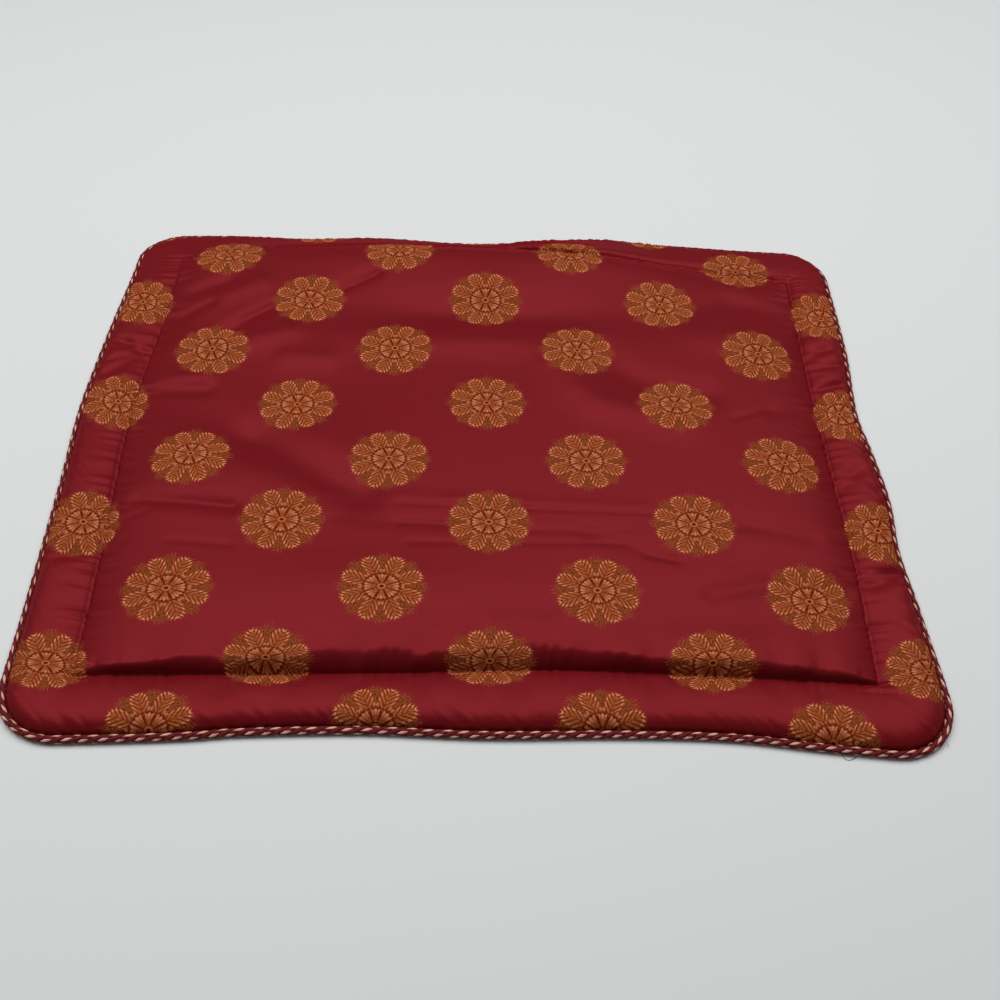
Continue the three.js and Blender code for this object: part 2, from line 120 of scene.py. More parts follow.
@dataclass(frozen=True)
class Plan:
    """The outline, the stitched rectangle and the back's overlap, seen from above.

    The cloth, seam and overlap have the sizes of the part's source. The tables push each side outwards, by
    the place along it, and the graded sizes set how close the grid's lines stand inside the seam.
    """

    cloth_half_width: float = 377
    cloth_half_depth: float = 305
    seam_half_width: float = 335
    seam_half_depth: float = 255
    corner_radius: float = 40
    overlap_half: float = 75
    overlap_ramp: float = 15
    graded_width: float = 36
    graded_steps: int = 20
    grading: float = 1.3
    edge_left: EdgeTable = EdgeTable(
        at=(-303, -228, -53, 37, 107, 167, 237, 297), out=(0, 2, 5, 8, 5, 1, -5, -8))
    edge_right: EdgeTable = EdgeTable(
        at=(-303, -243, -173, -113, -53, 7, 57, 147, 257, 297), out=(9, 9, 6, 2, 6, 2, -3, 3, 3, 1))
    edge_near: EdgeTable = EdgeTable(
        at=(-380, -300, -230, -190, -90, 10, 120, 210, 290, 380), out=(7, 4, 0, -4, -8, -6, -9, -8, 0, 7))
    edge_far: EdgeTable = EdgeTable(
        at=(-380, -280, -200, -115, -20, 60, 140, 220, 290, 380), out=(-6, -2, -4, 1, -5, -1, 5, 1, -4, -8))
    seam_left: EdgeTable = EdgeTable(at=(-253, -123, -3, 87, 162, 247), out=(-7, -4, 2, 0, -6, -11))
    seam_right: EdgeTable = EdgeTable(at=(-253, -123, -3, 97, 247), out=(0, 4, 2, 1, 3))
    seam_near: EdgeTable = EdgeTable(at=(-330, -75, 50, 160, 330), out=(3, -5, -11, -10, -4))
    seam_far: EdgeTable = EdgeTable(
        at=(-330, -270, -87, 50, 120, 200, 330), out=(1, 9, 15, 15, 13, 9, -6))

    def lines(self, half_cloth: float, half_seam: float, flange_step: float, panel_step: float) -> Array:
        """Grid lines from rim to rim: even on the flange, close inside the stitching, then even again.

        Formula: the close lines stand at a power of even parts of the graded width.

        Args:
            half_cloth: half the cloth's size.
            half_seam: half the stitched rectangle's size.
            flange_step: step of the lines on the flange.
            panel_step: step of the lines on the panel.

        Returns:
            The lines in order, from minus half_cloth to half_cloth.
        """
        flange = np.linspace(half_cloth, half_seam, round((half_cloth - half_seam) / flange_step) + 1)
        part = np.linspace(0, 1, self.graded_steps + 1)[1:]
        graded = half_seam - part**self.grading * self.graded_width
        panel = np.linspace(graded[-1], 0, round(graded[-1] / panel_step) + 1)[1:]
        half = np.concatenate([flange, graded, panel])
        return np.concatenate([-half[:-1], half[::-1]])

    def columns(self, flange_step: float, panel_step: float) -> Array:
        """Places of the grid lines along X, at the steps given for the flange and the panel."""
        return self.lines(self.cloth_half_width, self.seam_half_width, flange_step, panel_step)

    def rows(self, flange_step: float, panel_step: float) -> Array:
        """Places of the grid lines along Y, at the steps given for the flange and the panel."""
        return self.lines(self.cloth_half_depth, self.seam_half_depth, flange_step, panel_step)

    def past_seam(self, across: Array, along: Array) -> tuple[Array, Array]:
        """How far a point lies past the stitching of each pair of sides, negative inside it."""
        return np.abs(across) - self.seam_half_width, np.abs(along) - self.seam_half_depth

    def seam_distance(self, across: Array, along: Array) -> Array:
        """Distance to the stitched rectangle: negative inside it, to the nearest side."""
        past_x, past_y = self.past_seam(across, along)
        outside = np.hypot(np.maximum(past_x, 0), np.maximum(past_y, 0))
        return np.where(outside > 0, outside, np.maximum(past_x, past_y))

    def over_overlap(self, distance: Array) -> Array:
        """Part of the overlap's lift, by the distance from the middle: all of it at first, then a ramp."""
        return np.clip((self.overlap_half + self.overlap_ramp - distance) / self.overlap_ramp, 0, 1)

    @staticmethod
    def outward_shift(distance: Array, seam: float, rim: float, seam_out: Array, edge_out: Array) -> Array:
        """Shift outwards of a point beside one side.

        Formula: it grows with the square of the distance up to the seam's own shift, then in a straight
        line to the edge's shift at the rim.

        Args:
            distance: from the middle, along the axis across this side.
            seam: distance of the seam.
            rim: distance of the rim.
            seam_out: the seam's shift at this place along the side.
            edge_out: the edge's shift there.

        Returns:
            The shift.
        """
        inside = seam_out * (distance / seam) ** 2
        outside = blend(seam_out, edge_out, (distance - seam) / (rim - seam))
        return np.where(distance <= seam, inside, outside)

    def place(self, across: Array, along: Array) -> tuple[Array, Array]:
        """Carry points of the plain rectangle into the rounded, uneven outline.

        Formula: in a corner square a point is moved towards the square's inner corner until its plain
        distance from there equals its larger side distance, so squares become quarter circles. Then each
        side is pushed outwards by its tables.

        Args:
            across: distance along X in the plain rectangle.
            along: distance along Y in the plain rectangle.

        Returns:
            x and y of each point.
        """
        x = np.abs(across)
        y = np.abs(along)
        past_x = np.maximum(x - (self.cloth_half_width - self.corner_radius), 0)
        past_y = np.maximum(y - (self.cloth_half_depth - self.corner_radius), 0)
        straight = np.hypot(past_x, past_y)
        squeeze = np.where(straight > 0, np.maximum(past_x, past_y) / np.where(straight > 0, straight, 1), 1)
        x = x + past_x * (squeeze - 1)
        y = y + past_y * (squeeze - 1)
        edge_x = np.where(across < 0, self.edge_left(along), self.edge_right(along))
        seam_x = np.where(across < 0, self.seam_left(along), self.seam_right(along))
        edge_y = np.where(along < 0, self.edge_near(across), self.edge_far(across))
        seam_y = np.where(along < 0, self.seam_near(across), self.seam_far(across))
        x = x + self.outward_shift(x, self.seam_half_width, self.cloth_half_width, seam_x, edge_x)
        y = y + self.outward_shift(y, self.seam_half_depth, self.cloth_half_depth, seam_y, edge_y)
        return np.sign(across) * x, np.sign(along) * y


@dataclass(frozen=True)
class Swell:
    """A broad rise of the panel, or a dip where its height is negative."""

    x: float
    y: float
    reach_x: float
    reach_y: float
    height: float


@dataclass(frozen=True)
class Fold:
    """A soft trough between two points, or a ridge where its depth is negative."""

    from_x: float
    from_y: float
    to_x: float
    to_y: float
    width: float
    depth: float

    def distance(self, x: Array, y: Array) -> Array:
        """Distance of points to the fold's line, measured to its ends past them."""
        step_x = self.to_x - self.from_x
        step_y = self.to_y - self.from_y
        part = ((x - self.from_x) * step_x + (y - self.from_y) * step_y) / (step_x**2 + step_y**2)
        part = np.clip(part, 0, 1)
        return np.hypot(x - self.from_x - part * step_x, y - self.from_y - part * step_y)


@dataclass(frozen=True)
class Pucker:
    """A short dip across the near stitching."""

    at: float
    depth: float
    width: float
    reach: float


@dataclass(frozen=True)
class Relief:
    """Heights of the face over the surface: flange puff, stitched channel, shoulders, crown and folds."""

    plan: Plan
    rim_top: float = 5.2
    panel_height: float = 22
    crown_height: float = 1
    puff: float = 8.5
    puff_far: EdgeTable = EdgeTable(
        at=(-330, -250, -60, 20, 60, 140, 200, 330), out=(8, 10, 10, 9, 13, 13, 9, 8))
    rim_softness: float = 5
    rim_ripple: float = 0.3
    rim_softness_far: float = 3.5
    stitch_softness: float = 13
    stitch_softness_far: EdgeTable = EdgeTable(at=(-330, -60, 40, 330), out=(20, 24, 8, 8))
    seam_height_near: float = 6.5
    seam_rise_from: float = 120
    seam_height_far: EdgeTable = EdgeTable(
        at=(-330, -271, -180, -87, 50, 120, 200, 330), out=(12, 21, 26, 29, 28, 24, 14, 9))
    bank_near: EdgeTable = EdgeTable(
        at=(-320, -269, -235, -200, -135, -117, -95, -66, -45, -20, 48, 72, 109, 155, 229, 258, 286, 325),
        out=(5, 6, 10, 10, 13, 17, 14, 18, 12, 13, 19, 16, 12, 9, 12, 8, 8, 4))
    bank_sharpness: float = 1.9
    shoulder_far: float = 8
    shoulder_left: float = 36
    shoulder_right: float = 34
    groove_depth: float = 1.6
    groove_width: float = 1.5
    groove_depth_far: EdgeTable = EdgeTable(at=(30, 50, 100, 125, 250, 330), out=(0, 4, 3.5, 0.3, 0.3, 1.6))
    gather_depth: float = 0.8
    gather_depth_ends: float = 1.5
    gather_reach: float = 9
    gather_reach_ends: float = 14
    gather_pitch: float = 13
    gather_pitch_fine: float = 7.3
    gather_fine_part: float = 0.35
    gather_fade: float = 0.4
    gather_fade_pitch: float = 53
    drift: float = 2
    drift_pitch: float = 71
    drift_fine: float = 1.3
    drift_pitch_fine: float = 29
    bank_ripple: float = 0.25
    # Columns: from_x, from_y, to_x, to_y, width, depth
    creases: tuple[Fold, ...] = (
        Fold(-313, -80, -218, -90, 3.4, 1.2),
        Fold(-271, -128, -216, -134, 3.4, 0.9),
        Fold(-326, -106, -296, -94, 3.4, 0.9),
        Fold(-325, -134, -309, -125, 3.6, 0.9),
        Fold(-321, -150, -299, -161, 3.6, 0.9),
        Fold(-376, -147, -354, -141, 3.6, 1.4),
        Fold(-350, -167, -329, -172, 4, 1.2),
        Fold(-144, 203, -108, 226, 3.4, 2.2),
        Fold(-313, 167, -282, 187, 4, -1.2),
        Fold(-245, 158, -213, 180, 3.6, 1.2),
        Fold(-69, -83, 47, -86, 3.4, 0.9),
        Fold(47, -86, 158, -88, 3.4, 0.9),
        Fold(-68, -105, -26, -105, 3.4, 1.2),
        Fold(-58, -127, 129, -123, 3.4, 0.8),
        Fold(47, -110, 135, -108, 3.4, 0.5),
        Fold(149, -134, 175, -139, 4, 1),
        Fold(-375, 131, -354, 128, 4, 2),
        Fold(-358, 127, -332, 114, 4, 2.4),
        Fold(-379, 97, -355, 110, 4, 2),
        Fold(-342, 93, -333, 82, 4, 2),
        Fold(338, 130, 361, 142, 4, 2),
        Fold(343, 114, 375, 121, 4, 2),
        Fold(342, 86, 370, 94, 4, 2.4),
        Fold(373, 0, 388, 6, 3, 1),
        Fold(323, 98, 333, 92, 3, 1),
        Fold(312, 31, 330, 29, 3, 1),
        Fold(248, 32, 287, 50, 4, 1),
        Fold(321, -143, 378, -139, 4, 2.4),
        Fold(21, -192, 60, -191, 12, 1.5),
    )
    # Columns: x, y, reach_x, reach_y, height
    swells: tuple[Swell, ...] = (
        Swell(0, 262, 210, 48, 14),
        Swell(300, 262, 80, 45, -10),
        Swell(5, 208, 90, 30, 5),
        Swell(-10, 129, 115, 22, 4.2),
        Swell(10, 171, 120, 22, -4.2),
        Swell(275, 144, 60, 24, 4.2),
        Swell(265, 193, 55, 24, -3.8),
        Swell(-190, 55, 90, 60, -6),
        Swell(-265, 112, 60, 45, -3),
        Swell(-230, -50, 110, 45, 4),
        Swell(-90, -177, 150, 40, 4),
        Swell(290, -170, 60, 50, -5),
    )
    # Columns: from_x, from_y, to_x, to_y, width, depth
    folds: tuple[Fold, ...] = (
        Fold(-332, 150, -282, 183, 9, 5),
        Fold(-292, 178, -232, 210, 14, -3),
        Fold(-302, 197, -268, 213, 10, 4),
        Fold(-256, 142, -217, 174, 9, 4),
        Fold(-197, 180, -110, 226, 9, 2),
        Fold(-322, 74, -270, 76, 10, -3),
        Fold(-320, 59, -268, 58, 9, 3),
        Fold(-190, 104, -155, 101, 13, -2.6),
        Fold(-315, 46, -211, -6, 26, 3),
        Fold(-211, -6, -106, -70, 22, 7),
        Fold(80, 100, 96, 68, 20, -4),
        Fold(118, 45, 195, 26, 20, -4),
        Fold(126, 120, 138, 98, 18, 3),
        Fold(158, 80, 225, 64, 18, 3),
        Fold(-305, 126, -255, 118, 15, -3.5),
        Fold(-255, 118, -195, 138, 15, -3.5),
        Fold(-305, -80, -220, -91, 9, 3),
        Fold(-143, -72, -23, -79, 8, -0.6),
        Fold(-23, -79, 154, -84, 8, -0.6),
        Fold(-128, -101, -28, -108, 8, 0.6),
        Fold(-28, -108, 101, -112, 8, 0.6),
        Fold(101, -112, 178, -140, 8, 1),
        Fold(237, -96, 301, -106, 9, 2),
        Fold(203, -174, 255, -159, 9, 2),
        Fold(270, 205, 318, 191, 16, 3),
        Fold(290, 46, 320, 56, 10, 2),
        Fold(138, -200, 238, -198, 18, 2),
        Fold(-370, -141, -331, -136, 8, 4),
        Fold(-374, 129, -331, 114, 8, 3),
        Fold(-371, 82, -334, 120, 8, 4),
        Fold(326, -163, 381, -138, 8, 4),
        Fold(334, 77, 366, 92, 8, 4),
        Fold(335, 120, 379, 121, 8, 3),
        Fold(342, 136, 378, 149, 8, 3),
        Fold(340, -40, 362, -22, 8, 3),
    )
    # Columns: at, depth, width, reach
    puckers: tuple[Pucker, ...] = (
        Pucker(-272, 2, 11, 22),
        Pucker(-208, 4, 14, 26),
        Pucker(-146, 2, 11, 20),
        Pucker(-98, 3, 11, 26),
        Pucker(-46, 3, 11, 30),
        Pucker(-3, 3, 11, 32),
        Pucker(34, 4, 12, 30),
        Pucker(94, 3, 12, 24),
        Pucker(148, 4, 11, 28),
        Pucker(180, 2, 11, 22),
        Pucker(251, 3, 11, 24),
        Pucker(288, 4, 12, 26),
    )

    def unevenness(self, x: Array, y: Array, from_near_seam: Array) -> Array:
        """Swells, folds and puckers added up.

        Formula: each is a bell curve, e to the minus square of the distance over its own reach.

        Args:
            x: place along X.
            y: place along Y.
            from_near_seam: distance inside the near stitching.

        Returns:
            How far the cloth stands over its plain height.
        """
        change = np.zeros_like(x)
        for swell in self.swells:
            spread = ((x - swell.x) / swell.reach_x) ** 2 + ((y - swell.y) / swell.reach_y) ** 2
            change += swell.height * np.exp(-spread)
        for fold in self.folds + self.creases:
            change -= fold.depth * np.exp(-((fold.distance(x, y) / fold.width) ** 2))
        for pucker in self.puckers:
            spread = ((x - pucker.at) / pucker.width) ** 2 + (from_near_seam / pucker.reach) ** 2
            change -= pucker.depth * np.exp(-spread)
        return change

    def wave(self, place: Array) -> Array:
        """An uneven row of small waves, about 1 high at a full crest.

        Formula: a coarse sine and a finer one. Two slow sines shift them along the row, in opposite
        directions, and a third lets the coarse one's height come and go.

        Args:
            place: distance along the row.

        Returns:
            The height of the row there.
        """
        turn = TURN * place
        drift = self.drift * np.sin(turn / self.drift_pitch)
        drift = drift + self.drift_fine * np.sin(turn / self.drift_pitch_fine)
        strength = 1 - self.gather_fade + self.gather_fade * np.sin(turn / self.gather_fade_pitch)
        coarse = strength * np.sin(turn / self.gather_pitch + drift)
        return coarse + self.gather_fine_part * np.sin(turn / self.gather_pitch_fine - drift)

    def gathers(self, across: Array, along: Array) -> Array:
        """Height of the small puckers that the stitching draws in the cloth on both sides of it."""
        past_x, past_y = self.plan.past_seam(across, along)
        ends = np.exp(-((past_x / self.gather_reach_ends) ** 2)) * (past_y < self.gather_reach)
        sides = np.exp(-((past_y / self.gather_reach) ** 2)) * (past_x < self.gather_reach)
        at_ends = self.gather_depth_ends * ends * self.wave(along)
        return at_ends + self.gather_depth * sides * self.wave(across)

    def seam_height(self, x: Array, along: Array) -> Array:
        """Height of the stitching: low at the near side, held up by the wadding in the far middle."""
        return blend(self.seam_height_near, self.seam_height_far(x), self.far_part(along))

    def far_part(self, along: Array) -> Array:
        """How much a place belongs to the far side: nothing before the rise starts, all of it at the seam."""
        return smooth_between(along, self.seam_rise_from, self.plan.seam_half_depth)

    def near_bank(self, inside: Array, x: Array) -> Array:
        """Part of the full height inside the near seam: a steep bank that turns level at its own width.

        Formula: one minus the part of the bank still ahead, raised to the turn's sharpness.

        Args:
            inside: distance inside the near seam.
            x: place along X.

        Returns:
            The part, from 0 at the seam to 1 past the bank.
        """
        width = self.bank_near(x) * (1 + self.bank_ripple * self.wave(x))
        ahead = np.clip(1 - inside / width, 0, 1)
        return 1 - ahead**self.bank_sharpness

    def height(self, across: Array, along: Array) -> Array:
        """Height of the face at points of the plain rectangle.

        Formula: on the flange, a slope from the rim to the stitching plus a puff that is nothing at both;
        on the panel, the stitching's height plus the crown, multiplied by a soft shoulder for each side.

        Args:
            across: distance along X in the plain rectangle.
            along: distance along Y in the plain rectangle.

        Returns:
            Height over the surface.
        """
        plan = self.plan
        x, y = plan.place(across, along)
        from_rim = np.minimum(plan.cloth_half_width - np.abs(across), plan.cloth_half_depth - np.abs(along))
        signed = plan.seam_distance(across, along)
        from_stitch = np.maximum(signed, 0)
        stitch = self.seam_height(x, along)
        uneven = self.unevenness(x, y, along + plan.seam_half_depth)
        far = self.far_part(along)
        towards_seam = (from_rim / np.maximum(from_rim + from_stitch, TINY)) ** (1 + far)
        softness = blend(self.rim_softness, self.rim_softness_far, far)
        softness = softness * (1 + self.rim_ripple * self.wave(x + y))
        beside_seam = blend(self.stitch_softness, self.stitch_softness_far(x), far)
        body = rise(from_rim, softness) * rise(from_stitch, beside_seam)
        puff = blend(self.puff, self.puff_far(x), far)
        flange = blend(self.rim_top, stitch, towards_seam) + body * (puff + uneven * (1 - far))
        shoulder = (
            self.near_bank(plan.seam_half_depth + along, x)
            * rise(plan.seam_half_depth - along, self.shoulder_far)
            * rise(plan.seam_half_width + across, self.shoulder_left)
            * rise(plan.seam_half_width - across, self.shoulder_right))
        dome = (1 - (across / plan.seam_half_width) ** 2) * (1 - (along / plan.seam_half_depth) ** 2)
        full = self.panel_height + self.crown_height * dome + uneven
        panel = blend(stitch, full, shoulder)
        deep = blend(self.groove_depth, self.groove_depth_far(x), far)
        groove = deep * np.exp(-((signed / self.groove_width) ** 2))
        return np.where(signed >= 0, flange, panel) - groove + self.gathers(across, along)


def add_mesh(
    name: str, points: Array, faces: list[Array], smooth: list[bool], uv: Array | None = None
) -> bpy.types.Object:
    """Make a mesh object from arrays, in metres, at the origin.

    Args:
        name: the piece's name.
        points: one row of x, y, z in millimetres for each vertex.
        faces: arrays of vertex numbers, one row for each face, each array with its own corner count.
        smooth: whether each array of faces is shaded smooth.
        uv: one row of two pattern coordinates for each corner of the faces, in order.

    Returns:
        The new object.
    """
    mesh = bpy.data.meshes.new(name)
    corners = np.concatenate([block.ravel() for block in faces]).astype(np.int32)
    totals = np.concatenate([np.full(len(block), block.shape[1]) for block in faces]).astype(np.int32)
    starts = np.concatenate([[0], np.cumsum(totals)[:-1]]).astype(np.int32)
    shading = np.concatenate([np.full(len(block), value) for block, value in zip(faces, smooth)])
    mesh.vertices.add(len(points))
    mesh.vertices.foreach_set("co", (points * MM).astype(np.float32).ravel())
    mesh.loops.add(len(corners))
    mesh.loops.foreach_set("vertex_index", corners)
    mesh.polygons.add(len(totals))
    mesh.polygons.foreach_set("loop_start", starts)
    mesh.polygons.foreach_set("use_smooth", shading.astype(bool))
    if uv is not None:
        layer = mesh.uv_layers.new(name=PATTERN_MAP)
        layer.data.foreach_set("uv", uv.astype(np.float32).ravel())
    mesh.update(calc_edges=True)
    mesh.validate()
    piece = bpy.data.objects.new(name, mesh)
    bpy.context.scene.collection.objects.link(piece)
    return piece


def grid_faces(columns: int, rows: int, closed: bool = False) -> Array:
    """Corner numbers of the quads of a grid whose vertices are stored column by column.

    Args:
        columns: how many columns of vertices.
        rows: how many vertices in a column.
        closed: whether each column joins its own end, as a tube's ring does.

    Returns:
        One row of four vertex numbers for each quad.
    """
    across = np.arange(columns - 1)[:, None] * rows
    step = np.arange(rows if closed else rows - 1)[None, :]
    after = (step + 1) % rows
    quads = np.stack([across + step, across + rows + step, across + rows + after, across + after], axis=-1)
    return quads.reshape(-1, 4)


def linear(colour: str) -> tuple[float, float, float, float]:
    """Turn an sRGB hex colour into linear red, green, blue and full alpha."""
    parts = [int(colour[place:place + 2], 16) / 255 for place in (1, 3, 5)]
    straight = [part / 12.92 if part <= 0.04045 else ((part + 0.055) / 1.055) ** 2.4 for part in parts]
    return (*straight, 1.0)


@dataclass(frozen=True)
class Step:
    """One step of arithmetic: a name, an operation, what goes in, and whether it is held from 0 to 1."""

    name: str
    operation: str
    inputs: tuple[str | float, ...]
    held: bool = False


class Finish:
    """A material under construction, with one way to add a node."""

    def __init__(self, name: str) -> None:
        """Start an empty material with a shader and an output."""
        self.made = bpy.data.materials.new(name)
        self.made.use_nodes = True
        self.tree = self.made.node_tree
        self.tree.nodes.clear()
        self.shader = self.add("ShaderNodeBsdfPrincipled")
        self.add("ShaderNodeOutputMaterial", None, {"Surface": self.shader.outputs[0]})

    def add(
        self, kind: str, settings: dict[str, Any] | None = None, inputs: dict[str | int, Any] | None = None
    ) -> bpy.types.Node:
        """Add a node, set its options, and feed its sockets with links or plain values.

        Args:
            kind: Blender's name for the node.
            settings: option names and values.
            inputs: what goes into each socket, by the socket's name or place.

        Returns:
            The new node.
        """
        node = self.tree.nodes.new(kind)
        for option, value in (settings or {}).items():
            setattr(node, option, value)
        self.feed(node, inputs or {})
        return node

    def feed(self, node: bpy.types.Node, inputs: dict[str | int, Any]) -> None:
        """Give a node's sockets their links or plain values, by the socket's name or place."""
        for key, value in inputs.items():
            if isinstance(value, bpy.types.NodeSocket):
                self.tree.links.new(value, node.inputs[key])
            else:
                node.inputs[key].default_value = value

    def done(self, looks: dict[str | int, Any]) -> bpy.types.Material:
        """Feed the shader with the finished looks, and give the material."""
        self.feed(self.shader, looks)
        return self.made

    def work_out(self, steps: tuple[Step, ...], known: dict[str, Any]) -> dict[str, Any]:
        """Turn a table of arithmetic into nodes, each step fed by numbers or by earlier names.

        Args:
            steps: the table, in order.
            known: sockets and numbers that the steps may name.

        Returns:
            The known values and one more socket for each step.
        """
        values = dict(known)
        for step in steps:
            inputs = {
                place: values[entry] if isinstance(entry, str) else entry
                for place, entry in enumerate(step.inputs)}
            node = self.add("ShaderNodeMath", {"operation": step.operation, "use_clamp": step.held}, inputs)
            values[step.name] = node.outputs[0]
        return values

    def paint(self, ground: str, *coats: tuple[Any, Any]) -> Any:
        """Lay coats of colour over a ground, one after another.

        Args:
            ground: the first colour, in hex.
            coats: what goes over it, each a hex colour or a socket, with how much of it shows.

        Returns:
            The socket of the finished colour.
        """
        under = linear(ground)
        for coat, amount in coats:
            over = linear(coat) if isinstance(coat, str) else coat
            mix = self.add(
                "ShaderNodeMix", {"data_type": "RGBA", "clamp_factor": True}, {0: amount, 6: under, 7: over})
            under = mix.outputs[2]
        return under


def lattice(name: str, column: str, row: str) -> tuple[Step, ...]:
    """Steps that place a point by the nearest centre of a plain lattice two half repeats wide and long.

    Args:
        name: what the steps are named for.
        column: step with the place across, in half repeats.
        row: step with the place down, in half repeats.

    Returns:
        The steps: name_x and name_y from the centre, and name_far with their sizes added.
    """
    return (
        Step(f"{name}_x", "WRAP", (column, 1, -1)),
        Step(f"{name}_y", "WRAP", (row, 1, -1)),
        Step(f"{name}_x_size", "ABSOLUTE", (f"{name}_x",)),
        Step(f"{name}_y_size", "ABSOLUTE", (f"{name}_y",)),
        Step(f"{name}_far", "ADD", (f"{name}_x_size", f"{name}_y_size")),
    )


def spoke(name: str, angle: str, half_sector: float) -> tuple[Step, ...]:
    """Steps that place a point by the nearest of even spokes round the rosette's middle.

    Args:
        name: what the steps are named for.
        angle: step with the angle from a first spoke.
        half_sector: half the angle between two spokes.

    Returns:
        The steps: name_along the spoke, and name_beside it.
    """
    return (
        Step(f"{name}_angle", "WRAP", (angle, half_sector, -half_sector)),
        Step(f"{name}_cosine", "COSINE", (f"{name}_angle",)),
        Step(f"{name}_sine", "SINE", (f"{name}_angle",)),
        Step(f"{name}_along", "MULTIPLY", ("radius", f"{name}_cosine")),
        Step(f"{name}_signed", "MULTIPLY", ("radius", f"{name}_sine")),
        Step(f"{name}_beside", "ABSOLUTE", (f"{name}_signed",)),
    )


def oval(name: str, x: str, y: str, half_x: float, half_y: float) -> tuple[Step, ...]:
    """Steps that tell how far out in an oval a point lies: the sum of its squared parts of each half axis.

    Args:
        name: what the steps are named for.
        x: step with the distance from the oval's middle along its first axis.
        y: the same along its second axis.
        half_x: first half axis.
        half_y: second half axis.

    Returns:
        The steps: name_x and name_y in half axes, and name_squared, which is 1 on the oval's line.
    """
    return (
        Step(f"{name}_x", "DIVIDE", (x, half_x)),
        Step(f"{name}_y", "DIVIDE", (y, half_y)),
        Step(f"{name}_x_squared", "MULTIPLY", (f"{name}_x", f"{name}_x")),
        Step(f"{name}_squared", "MULTIPLY_ADD", (f"{name}_y", f"{name}_y", f"{name}_x_squared")),
    )


def line(name: str, value: str, slope: float, start: float) -> Step:
    """A straight line of a value, held from 0 to 1: the steeper it is, the crisper the edge it draws."""
    return Step(name, "MULTIPLY_ADD", (value, slope, start), True)


